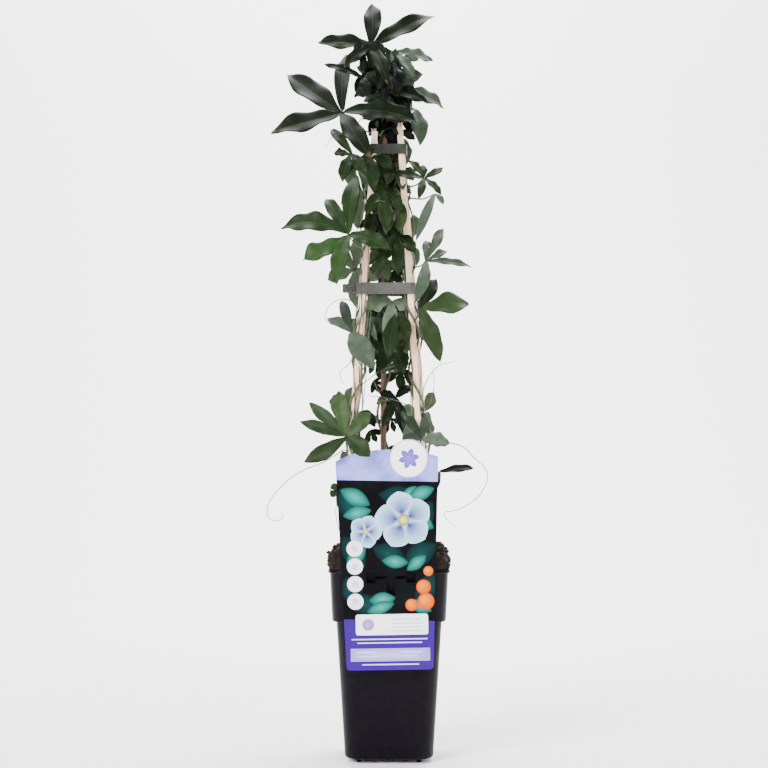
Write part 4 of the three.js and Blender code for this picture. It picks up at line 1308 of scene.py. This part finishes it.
@dataclass
class Leaf:
    """A palmate leaf: its hub, the way its upper face looks, its lobes and its green."""

    hub: Vector
    face: Vector
    lobes: list[Lobe]
    tone: Tone
    dry: bool = False

    def frames(self) -> list[LobeFrame]:
        """The lobes' frames in turn round the leaf's face.

        Returns:
            The frames, with the gaps to their neighbours.
        """
        across = (Vector((1, 0, 0)) - self.face * self.face.x).normalized()
        upwards = self.face.cross(across)
        found = []
        for lobe in self.lobes:
            slope = -(self.face.x * lobe.right + self.face.z * lobe.up) / self.face.y
            reach = point((lobe.right, slope, lobe.up))
            along = reach.normalized()
            normal = (self.face - along * self.face.dot(along)).normalized()
            angle = math.atan2(reach.dot(upwards), reach.dot(across))
            left = normal.cross(along)
            width = lobe.width * MM / math.hypot(left.x, left.z)
            found.append(LobeFrame(reach, width, angle, normal, left, lobe.bow * MM, lobe.shade))
        found.sort(key=lambda one: one.angle)
        for one, after in zip(found, found[1:] + found[:1]):
            gap = after.angle - one.angle
            gap += TURN if gap <= 0 else 0
            one.gap_left = gap
            after.gap_right = gap
        return found

    def add_blade(self, bm: bmesh.types.BMesh, rng: random.Random) -> None:
        """Adds the leaf's lobes, each a bent grid that meets its neighbours at the hub.

        Args:
            bm: the blades' geometry, with its map and its tones.
            rng: the vine's random draws.
        """
        uv = bm.loops.layers.uv["blade"]
        tone = bm.verts.layers.float_color["tone"]
        base, dry = Vector(linear(self.tone.value)), Vector(linear(DRY))
        for one in self.frames():
            length = one.reach.length
            phases = (rng.uniform(0, 1), rng.uniform(0, 1))
            beat = rng.uniform(1.9, 3.1)
            curl = rng.uniform(-0.02, 0.07)
            sway = rng.uniform(-0.035, 0.035)
            # a random tone for the lobe, times its painted light
            shade = rng.uniform(0.85, 1.15) * one.shade
            dry_from = rng.uniform(0.93, 0.97) if self.dry else 1.1
            steps, halves = FINE_GRID if length > SMALL_LOBE * MM else COARSE_GRID
            made = bmesh.ops.create_grid(bm, x_segments=steps, y_segments=halves, size=1.0)["verts"]
            texture: dict[bmesh.types.BMVert, tuple[float, float]] = {}
            for vert in made:
                share, side = (vert.co.x + 1) / 2, vert.co.y
                texture[vert] = (share, (side + 1) / 2)
                gap = one.gap_left if side > 0 else one.gap_right
                room = share * length * math.tan(min(gap, WIDEST_GAP) / 2) * WEB
                if gap > WIDE_GAP:
                    room += SPARE * MM
                half = min(profile(share) * one.width / 2, room)
                ripple = math.sin(TURN * (share * beat + phases[side > 0]))
                arch = 4 * share * (1 - share)
                lift = ARCH * length * arch
                lift += KEEL * half * (math.sqrt(side * side + 0.01) - 0.1)
                lift += RIPPLE * one.width * ripple * side * side * clamped((share - 0.1) / 0.2)
                lift -= curl * length * max(share - 0.7, 0) ** 2 / 0.09
                drift = sway * length * math.sin(math.pi * share)
                rise = Vector((0, 0, one.bow * arch))
                vert[tone] = (base * shade).lerp(dry, 0.85 if share > dry_from else 0)
                vert.co = self.hub + one.reach * share + one.left * (side * half + drift)
                vert.co += one.normal * lift + rise
            for face in {face for vert in made for face in vert.link_faces}:
                for loop in face.loops:
                    loop[uv].uv = texture[loop.vert]
            bmesh.ops.remove_doubles(bm, verts=made, dist=0.02 * MM)


def leaf(
    hub: Place, face: Place, lobes: list[tuple[float, ...]], tone: Tone = DEEP, dry: bool = False
) -> Leaf:
    """A leaf from its layout in millimetres, with each lobe as (right, up, width, bow, shade), the shade
    being painted light.
    """
    return Leaf(point(hub), Vector(face).normalized(), [Lobe(*one) for one in lobes], tone, dry)


# the ways that the leaves' upper faces look
FRONT = (0, -0.8, 0.6)
FRONT_LEFT = (-0.25, -0.75, 0.6)
FRONT_RIGHT = (0.25, -0.75, 0.6)
BACK = (0, 0.8, 0.6)
BACK_LEFT = (-0.45, 0.7, 0.55)
BACK_RIGHT = (0.45, 0.7, 0.55)
# the stalks' radii at the start and the end, in millimetres
STEM, STEM_NODE, PETIOLE, SHOOT, TENDRIL = (1.3, 0.85), (1.2, 1.5), (0.85, 0.6), (0.65, 0.4), (0.55, 0.3)
# from a cane's centre line to a winding stem's: cane, gap, stem and a little room, in millimetres
WINDING_RADIUS = 2.8 + 0.35 + 1.25 + 1.2
WINDING_STEPS = 7
CANE_TOP = 575  # the height up to which the canes' spacing counts


def winding(cane: Cane, low: float, high: float, pitch: float) -> list[Vector]:
    """Points of a stem that winds up a cane, on its inner side where the strap passes.

    Args:
        cane: the cane.
        low: the height of the first point, in millimetres.
        high: the height of the last point.
        pitch: the rise of one turn, negative for turning the other way.

    Returns:
        The points in metres.
    """
    inwards = math.atan2(-cane.foot[1], -cane.foot[0])
    steps = round(WINDING_STEPS * (high - low) / abs(pitch))
    course = []
    for i in range(steps + 1):
        z = between(low, high, i / steps)
        angle = inwards + TURN * (z - STRAP_HEIGHT) / pitch
        course.append(cane.at(z) + Vector((math.cos(angle), math.sin(angle), 0)) * WINDING_RADIUS * MM)
    return course


BAND_WALLS = ((559.5, 17.0, 15.0), (STRAP_HEIGHT, 28.0, 25.0))  # height and half widths, in mm
BAND_ROOM = 6
# the turns of a filler leaf's lobes from its middle one, with their shares of its reach
FAN = ((-1.45, 0.62), (-0.75, 0.85), (0, 1.0), (0.75, 0.85), (1.45, 0.62))


@dataclass(frozen=True)
class Thicket:
    """A zone between the canes that is dense with small leaves.

    The leaves' hubs lie between two heights and within a share of the canes' spacing, and their
    lobes hang in a fan. Their faces are turned about the height by each of the turns in order.
    """

    low: float
    high: float
    count: int
    reach: tuple[float, float]
    depth: tuple[float, float]
    tones: tuple[Tone, ...]
    spacing: float = 0.8
    shift: float = 0.0
    turns: tuple[float, ...] = (0.0,)

    def clears_bands(self, hub: Place, face: Place, right: float, up: float) -> bool:
        """Whether a lobe runs past both bands without going through their walls.

        Args:
            hub: the leaf's hub, in millimetres.
            face: the way its upper face looks.
            right: the lobe's reach to the right.
            up: the lobe's reach upwards.

        Returns:
            True if it touches neither band.
        """
        slope = -(face[0] * right + face[2] * up) / face[1]
        for height, half_x, half_y in BAND_WALLS:
            share = (height - hub[2]) / up if up else -1.0
            if not -0.2 < share < 1.2:
                continue
            x, y = abs(hub[0] + right * share), abs(hub[1] + slope * share)
            if x > half_x - BAND_ROOM or y > half_y - BAND_ROOM:
                return False
        return True

    def leaves(self, rng: random.Random) -> list[Leaf]:
        """Lays the leaves out, the same on every run.

        Args:
            rng: the zone's random draws.

        Returns:
            The leaves, from the lowest up.
        """
        made = []
        for i in range(self.count):
            z = self.low + (self.high - self.low) * (i + rng.uniform(0.2, 0.8)) / self.count
            room = CANES["front_right"].at(min(z, CANE_TOP)).x / MM * self.spacing
            side = (-1) ** i * rng.uniform(0.15, 1.0)
            hub = (self.shift + room * side, rng.uniform(*self.depth), z)
            spin = self.turns[i % len(self.turns)] + rng.uniform(-0.4, 0.4)
            face = (math.sin(spin), -math.cos(spin), rng.uniform(0.15, 0.5))
            slim = abs(math.cos(spin))
            length = rng.uniform(*self.reach)
            start = rng.uniform(-0.6, 0.6) - RIGHT_ANGLE
            lobes = []
            for turn, share in FAN:
                size = length * share * rng.uniform(0.85, 1.1)
                angle = start + turn + rng.uniform(-0.12, 0.12)
                right, up = size * math.cos(angle) * slim, size * math.sin(angle)
                if self.clears_bands(hub, face, right, up):
                    lobes.append((right, up, size * (0.26 + 0.2 * slim)))
            kept = lobes[rng.randrange(2) : 5 - rng.randrange(2)]
            tone = rng.choice(self.tones)
            if kept:
                made.append(leaf(hub, face, kept, tone))
        return made


@dataclass
class Vine:
    """A climbing stem with its leaves and tendrils.

    The climb is the winding part's lower and upper height and its pitch. A shoot is given by its
    lower and upper height and the side of the cane that it keeps to.
    """

    name: str
    cane: Cane
    root: Course
    climb: tuple[float, float, float]
    tip: Course
    leaves: list[Leaf]
    tendrils: list[Course]
    seed: int
    thickets: list[Thicket] = field(default_factory=list)
    shoots: tuple[tuple[float, float, float], ...] = ()

    def stem(self) -> list[Vector]:
        """The stem's centre line from the peat to its growing tip."""
        root, tip = ([point(p) for p in part] for part in (self.root, self.tip))
        return smooth_path(root + winding(self.cane, *self.climb) + tip, 5)

    def node_for(self, course: list[Vector], hub: Vector) -> Vector:
        """The stem's point where a leaf or tendril leaves it."""
        low = hub - Vector((0, 0, 9 * MM))
        return min(course, key=lambda place: (place - low).length)

    def petiole(self, course: list[Vector], one: Leaf) -> list[Vector]:
        """The petiole's centre line, sagging a little between stem and hub.

        Args:
            course: the stem's centre line.
            one: the leaf.

        Returns:
            The points of the centre line.
        """
        start = self.node_for(course, one.hub)
        end = one.hub - one.face * 0.1 * MM
        middle = start.lerp(end, 0.55)
        middle.z -= 0.12 * (end - start).length
        return smooth_path([start, middle, end], 7)

    def shoot(self, low: float, high: float, turn: float) -> list[Vector]:
        """A thin shoot that runs up close beside the cane, swaying a little.

        Args:
            low: the height of its lower end, in millimetres.
            high: the height of its upper end.
            turn: the side of the cane that it keeps to, as an angle from the front.

        Returns:
            The points of its centre line, in metres.
        """
        knots = []
        steps = 7
        for i in range(steps + 1):
            angle = turn - RIGHT_ANGLE + 0.35 * math.sin(2.3 * i + turn)
            away = 4.4 + 1.5 * math.sin(1.7 * i + 3 * turn)
            aside = point((away * math.cos(angle), away * math.sin(angle), 0))
            knots.append(self.cane.at(between(low, high, i / steps)) + aside)
        return smooth_path(knots, 5)

    def build(self, skins: list[bpy.types.Material], stalks: list[bpy.types.Material]) -> None:
        """Makes the vine's stalks and its blades.

        Args:
            skins: the leaves' upper face and underside.
            stalks: the stem's material, the petioles' and the tendrils'.
        """
        course = self.stem()
        runs = Runs(f"stalks_{self.name}", 2)
        runs.add(course, *STEM)
        for shoot in self.shoots:
            runs.add(self.shoot(*shoot), *SHOOT, 1)
        leafing = random.Random(100 + self.seed)
        leaves = self.leaves + [one for zone in self.thickets for one in zone.leaves(leafing)]
        swell = Vector((0, 0, 1.6 * MM))
        for one in leaves:
            runs.add(self.petiole(course, one), *PETIOLE, 1)
            node = self.node_for(course, one.hub)
            runs.add([node - swell, node, node + swell], *STEM_NODE)
        for line in self.tendrils:
            knots = [point(p) for p in line]
            knots.insert(0, self.node_for(course, knots[0]))
            runs.add(smooth_path(knots, 7), *TENDRIL, 2)
        runs.build(stalks, "foliage", (f"vine_{self.name}",))
        bm = bmesh.new()
        bm.loops.layers.uv.new("blade")
        bm.verts.layers.float_color.new("tone")
        rng = random.Random(self.seed)
        for one in leaves:
            one.add_blade(bm, rng)
        blades = finished(f"leaves_{self.name}", bm, skins, (f"vine_{self.name}",))
        shell = blades.modifiers.new("blade", "SOLIDIFY")
        shell.thickness = 0.35 * MM
        shell.offset = -1.0
        shell.material_offset = 1


# a lobe's fifth number, its shade, is painted light: above 1 paints sheen on it, below 1 paints shade
VINES = [
    Vine("centre", CENTRE_CANE, [(-2, 12, 150), (-1, 12, 200)], (225, 585, 82),
         [(-6, 3, 620), (-12, 4, 652)], [
        leaf((-16, 0, 657), FRONT,
            [(1, 45, 17), (59, 36, 18, -5), (-50, 3, 16, -2), (15, -39, 13), (-25, -23, 12)], DARK, True),
        leaf((-1, -8, 640), (0.1, -0.85, 0.5), [(9, -33, 17), (-9, -28, 15)], BLACK),
        leaf((-24, -14, 624), FRONT, [(-36, 14, 8), (5, -19, 11)], BLACK),
        leaf((5, 10, 652), (0.2, -0.7, 0.7), [(36, -7, 12), (18, -26, 10)], GREY),
        leaf((8, 8, 616), FRONT_RIGHT, [(44, -13, 14), (12, 16, 18)], GREY),
        leaf((-7, -9, 616), FRONT, [(42, -14, 14), (-25, -9, 12), (2, -27, 12)], BLACK),
        leaf((-43, -18, 592), (-0.1, -0.75, 0.65),
            [(-52, 42, 23, -4), (-65, -18, 20, -4), (3, 62, 15), (70, -10, 21), (26, -46, 19)], DARK, True),
        leaf((24, 6, 599), FRONT_RIGHT, [(5, -36, 16), (-19, -10, 12)], GREY),
        leaf((9, 4, 549), FRONT, [(4, -27, 13), (-11, -22, 13)], GREY),
        leaf((6, -17, 514), FRONT, [(-9, -34, 15), (4, -34, 14), (-6, 11, 9)], MID),
        leaf((-12, -8, 506), FRONT, [(-7, -30, 15), (8, -27, 14)], DARK),
        leaf((-4, -24, 520), FRONT, [(-17, -24, 13), (2, -40, 14), (15, -20, 12), (-12, 10, 11)], DEEP),
        leaf((6, -20, 480), FRONT, [(-13, -28, 13), (2, -38, 13), (18, -17, 13), (-12, 12, 12)], DEEP),
        leaf((-3, -14, 456), FRONT, [(-13, -9, 9), (2, -19, 9), (15, -8, 9)], MID),
        leaf((3, -8, 420), FRONT, [(-1, -48, 14), (-24, -7, 18), (14, -8, 13)], PALE),
        leaf((9, -21, 409), FRONT, [(-10, -42, 15), (8, -28, 13)], DEEP),
        leaf((4, -14, 382), FRONT, [(-14, -26, 15), (9, -30, 16), (-18, 3, 12)], DEEP),
        leaf((6, -12, 331), FRONT, [(15, 12, 9), (-15, 4, 8), (6, -31, 11), (-12, -26, 10)], DARK),
        leaf((2, 24, 628), BACK,
            [(30, 6, 13), (4, 27, 12), (-32, 12, 14), (-22, -26, 12), (20, -24, 12)], DARK),
    ], [
        [(-12, 0, 606), (-22, -8, 592), (-36, -22, 575), (-52, -26, 568), (-58, -24, 558)],
        [(-8, -16, 500), (-17, -32, 499), (-11, -36, 509), (-1, -36, 507), (1, -35, 497), (-6, -35, 493)],
    ], 1, [
        Thicket(578, 650, 13, (20, 34), (-2, 18), (BLACK, DARK, GREY), 1.5, 4),
        Thicket(622, 664, 6, (18, 30), (-8, 10), (BLACK, DARK), 1.1, -11),
        Thicket(488, 572, 16, (17, 27), (-3, 14), (DEEP, GREY, MID, DARK), 0.8, -4),
        Thicket(436, 488, 8, (13, 21), (-5, 12), (MID, GREY, OLIVE), 0.7),
        Thicket(356, 424, 12, (16, 27), (-4, 14), (MID, OLIVE, GREY, DEEP), 0.8),
        Thicket(280, 350, 6, (12, 19), (-6, 14), (DARK, DEEP), 0.45, -9),
        Thicket(380, 560, 12, (20, 30), (-8, 14), (DEEP, MID, GREY), 0.75, 0, (1.1, -1.1, 2.1, -2.1)),
        Thicket(560, 660, 8, (20, 32), (-8, 14), (DARK, BLACK), 1.2, 0, (1.0, -2.2, -1.0, 2.2)),
    ]),
    Vine("left", CANES["front_left"], [(-19, -20, 150), (-20, -24, 205)], (233, 530, 66), [], [
        leaf((-17, -28, 550), FRONT, [(-18, -14, 14), (3, -34, 13), (20, -10, 13), (-4, 14, 10)], DEEP),
        leaf((-34, -24, 553), FRONT_LEFT,
            [(-21, 28, 10), (-17, 3, 10), (-8, -27, 12), (14, -20, 12)], DEEP, True),
        leaf((-37, -36, 479), (-0.15, -0.8, 0.6), [(7, 60, 16), (-22, 38, 13), (-62, 7, 19, 6),
            (-41, -22, 20, -3, 1.9), (-10, -46, 16, 0, 1.7), (38, -15, 16)], FRESH),
        leaf((-34, -34, 391), FRONT_LEFT,
            [(-10, 31, 10, 0, 0.35), (-23, 13, 10, 0, 0.8), (20, -32, 21)], GREY),
        leaf((-38, -61, 297), (-0.1, -0.95, 0.3), [(-7, 41, 18), (21, 22, 15), (-34, 30, 12, 0, 0.75),
            (-42, 13, 11, 0, 0.5), (-38, -23, 14, -2, 0.5), (21, -18, 16, 0, 0.6)], BRIGHT),
        leaf((-46, -26, 247), FRONT_LEFT, [(-7, 5, 7), (-7, -6, 8), (9, -22, 10)], DEEP),
    ], [
        [(-40, -37, 284), (-50, -32, 278), (-63, -27, 271), (-78, -25, 265), (-92, -24, 256),
         (-100, -24, 248), (-107, -24, 240), (-111, -24, 230), (-110, -24, 222), (-103, -25, 219),
         (-97, -26, 222), (-98, -27, 227)],
        [(-31, -30, 236), (-42, -30, 240), (-48, -29, 232), (-48, -29, 222), (-44, -30, 206)],
        [(-32, -31, 368), (-36, -34, 362), (-45, -34, 353), (-41, -35, 344)],
        [(-22, -28, 345), (-13, -31, 352), (-5, -31, 357), (8, -30, 360), (20, -32, 358)],
        [(-17, -24, 418), (-19, -27, 380), (-22, -29, 340), (-26, -33, 300), (-29, -34, 258)],
    ], 2, shoots=((238, 470, 0.5), (246, 426, 1.0), (262, 452, 1.5), (300, 500, -0.7), (236, 360, 0.1))),
    Vine("right", CANES["front_right"], [(17, -18, 150), (18, -23, 205)], (233, 526, -66), [], [
        leaf((32, -18, 532), FRONT_RIGHT,
            [(-1, 14, 7), (-14, 18, 8), (-29, 3, 9), (-5, -20, 8), (16, -16, 7), (18, 11, 7)], DEEP, True),
        leaf((42, -14, 518), FRONT_RIGHT, [(-18, -46, 9), (8, -10, 6)], GREY),
        leaf((34, -22, 456), FRONT_RIGHT,
            [(16, 32, 11), (1, 21, 10), (42, -4, 7), (20, 11, 8), (-10, -38, 12)], GREY),
        leaf((29, -26, 413), (0.15, -0.85, 0.5),
            [(45, 5, 20), (17, -50, 17, 0, 0.8), (14, 28, 15, 0, 0.22)], MID),
        leaf((29, -42, 294), FRONT_RIGHT,
            [(26, -4, 13, 0, 1.7), (-17, 1, 8, 0, 0.6), (7, 25, 10, 0, 0.7), (-18, 25, 9, 0, 0.4)], GREY),
        leaf((46, -32, 264), FRONT_RIGHT, [(32, 3, 7), (-8, -20, 8)], BLACK),
    ], [
        [(33, -36, 286), (44, -30, 290), (55, -26, 290), (68, -24, 286), (77, -24, 277), (88, -24, 266),
         (90, -24, 258), (84, -24, 244), (74, -25, 235), (62, -26, 229), (50, -28, 226), (54, -28, 219),
         (62, -27, 213)],
        [(31, -30, 338), (35, -27, 348), (45, -23, 360), (60, -22, 364)],
        [(31, -30, 318), (38, -26, 328), (41, -24, 342), (40, -24, 356)],
        [(22, -27, 322), (16, -33, 325), (-2, -33, 331), (-20, -33, 333)],
    ], 3, shoots=((250, 430, -1.1), (290, 520, -1.6), (238, 380, 1.2))),
    Vine("back_left", CANES["back_left"], [(-20, 22, 150), (-24, 24, 205)], (233, 520, 99), [], [
        leaf((-24, 36, 524), BACK_LEFT,
            [(4, 34, 13), (-16, 24, 14), (-22, -10, 13), (-6, -32, 14), (24, -12, 13)], DEEP),
        leaf((-32, 44, 452), BACK_LEFT,
            [(8, 36, 14), (-22, 26, 14), (-26, -10, 15), (2, -36, 14), (30, -8, 14)], MID),
        leaf((-22, 46, 388), BACK,
            [(4, 34, 14), (-22, 16, 13), (-12, -30, 13), (20, -26, 14), (30, 12, 13)], DEEP),
        leaf((-38, 50, 310), BACK_LEFT,
            [(6, 34, 14), (-16, 24, 13), (-20, -12, 13), (6, -34, 14), (30, -4, 14)], MID),
        leaf((-34, 52, 258), BACK, [(-10, 22, 12), (4, -26, 12), (26, 8, 12)], DEEP),
    ], [
        [(-32, 38, 420), (-46, 46, 424), (-58, 48, 416), (-60, 46, 404), (-54, 46, 400)],
    ], 4),
    Vine("back_right", CANES["back_right"], [(18, 24, 150), (22, 26, 205)], (233, 536, -99), [], [
        leaf((12, 32, 546), BACK_RIGHT,
            [(-14, 28, 13), (2, 27, 13), (12, -10, 11), (-2, -32, 13), (-26, -4, 13)], DEEP),
        leaf((17, 40, 478), BACK_RIGHT,
            [(-10, 34, 14), (8, 25, 12), (9, -22, 12), (-10, -34, 14), (-30, 2, 14)], MID),
        leaf((22, 46, 404), BACK_RIGHT,
            [(-8, 36, 14), (16, 20, 13), (14, -18, 13), (-12, -34, 14), (-32, -2, 14)], DEEP),
        leaf((30, 50, 316), BACK_RIGHT,
            [(-6, 30, 14), (12, 20, 12), (10, -24, 12), (-16, -28, 14), (-22, 2, 13)], BRIGHT),
        leaf((22, 52, 252), BACK, [(12, 24, 12), (-8, -26, 12), (-26, 8, 12)], MID),
    ], [], 5),
]


@dataclass
class Foliage:
    """All the vines and the skins that they share."""

    face: LeafSkin = LeafSkin(
        "passion flower leaf, waxy upper face", "#1d2a1c", 0.0, "#3c5228", 0.26, 0.42, -0.14, 0.08
    )
    underside: LeafSkin = LeafSkin(
        "passion flower leaf, dull underside", "#4d5c48", 0.6, "#45523d", 0.4, 0.65, 0.16, 0.07
    )
    stem: Stalk = Stalk("climbing stem, green and corky", "#1c240f", "#454f2e")
    stalk: Stalk = Stalk("petiole, pale green", "#303c1c", "#76834f")
    tendril: Stalk = Stalk("tendril, pale and wiry", "#42472a", "#8a8f6c")

    def build(self) -> None:
        """Makes every vine."""
        skins = [self.face.material(), self.underside.material()]
        stalks = [self.stem.material(), self.stalk.material(), self.tendril.material()]
        for vine in VINES:
            vine.build(skins, stalks)


# ----------------------------------------------------------------------------- studio


@dataclass
class Studio:
    """The pale floor, the soft lights and the camera at the photograph's place."""

    distance: float = 1700.0
    eye: tuple[float, float] = (-4.6, 343.6)
    focal_pixels: float = 1838.0
    frame_pixels: float = 768.0
    sensor: float = 36.0

    def camera(self) -> None:
        """A level camera in front of the plant."""
        data = bpy.data.cameras.new("camera")
        data.sensor_width = self.sensor
        data.lens = self.sensor * self.focal_pixels / self.frame_pixels
        data.clip_start, data.clip_end = 0.05, 20.0
        made = new_object("camera", data)
        made.location = point((self.eye[0], -self.distance, self.eye[1]))
        made.rotation_euler = (RIGHT_ANGLE, 0, 0)
        bpy.context.scene.camera = made

    def floor(self) -> None:
        """A pale floor that sweeps up into a wall behind the plant."""
        bm = bmesh.new()
        reach, back, bend, height, steps = 4.0, 1.2, 0.9, 5.0, 12
        line = [(-reach, 0.0)]
        for angle in (RIGHT_ANGLE * i / steps for i in range(steps + 1)):
            line.append((back + bend * math.sin(angle), bend * (1 - math.cos(angle))))
        line.append((back + bend, height))
        verts = [bm.verts.new((-reach, y, z)) for y, z in line]
        edges = [bm.edges.new(pair) for pair in zip(verts, verts[1:])]
        grown = bmesh.ops.extrude_edge_only(bm, edges=edges)["geom"]
        fresh = [part for part in grown if isinstance(part, bmesh.types.BMVert)]
        bmesh.ops.translate(bm, vec=(2 * reach, 0, 0), verts=fresh)
        mesh = as_mesh(bm, "floor")
        material, _, shader = principled("pale studio paper")
        shader.inputs["Base Color"].default_value = linear("#f3f2f1")
        shader.inputs["Roughness"].default_value = 0.9
        mesh.materials.append(material)
        new_object("floor", mesh)

    def light(self, name: str, place: Place, size: float, power: float, target: Place) -> None:
        """A square soft light.

        Args:
            name: its name.
            place: its place in metres.
            size: the side of its square, in metres.
            power: its power in watts.
            target: the point that it faces, in metres.
        """
        data = bpy.data.lights.new(name, "AREA")
        data.size = size
        data.energy = power
        made = new_object(name, data)
        made.location = place
        aim = Vector(target) - Vector(place)
        made.rotation_euler = aim.to_track_quat("-Z", "Y").to_euler()

    def build(self) -> None:
        """Sets the camera, the floor and the lights."""
        self.camera()
        self.floor()
        plant, wall = (0.0, 0.0, 0.35), (0.0, 2.1, 0.4)
        self.light("key", (-1.5, -1.9, 1.6), 1.2, 165, plant)
        self.light("fill", (1.7, -1.5, 0.8), 1.6, 45, plant)
        self.light("rim", (0.9, 0.9, 1.6), 1.2, 30, plant)
        self.light("backdrop", (0.0, 0.9, 2.0), 1.6, 130, wall)
        world = bpy.data.worlds.new("studio")
        world.use_nodes = True
        sky = world.node_tree.nodes["Background"]
        sky.inputs["Color"].default_value = linear("#f7f8fb")
        sky.inputs["Strength"].default_value = 0.7
        bpy.context.scene.world = world


def main() -> None:
    """Builds the plant from the pot up and sets the studio."""
    logging.basicConfig(level=logging.INFO, format="%(name)s: %(message)s")
    Studio().build()
    for made in (Pot(), Medium(), Supports(), Label(), Foliage()):
        log.info("building %s", type(made).__name__)
        made.build()


if __name__ == "__main__":
    main()
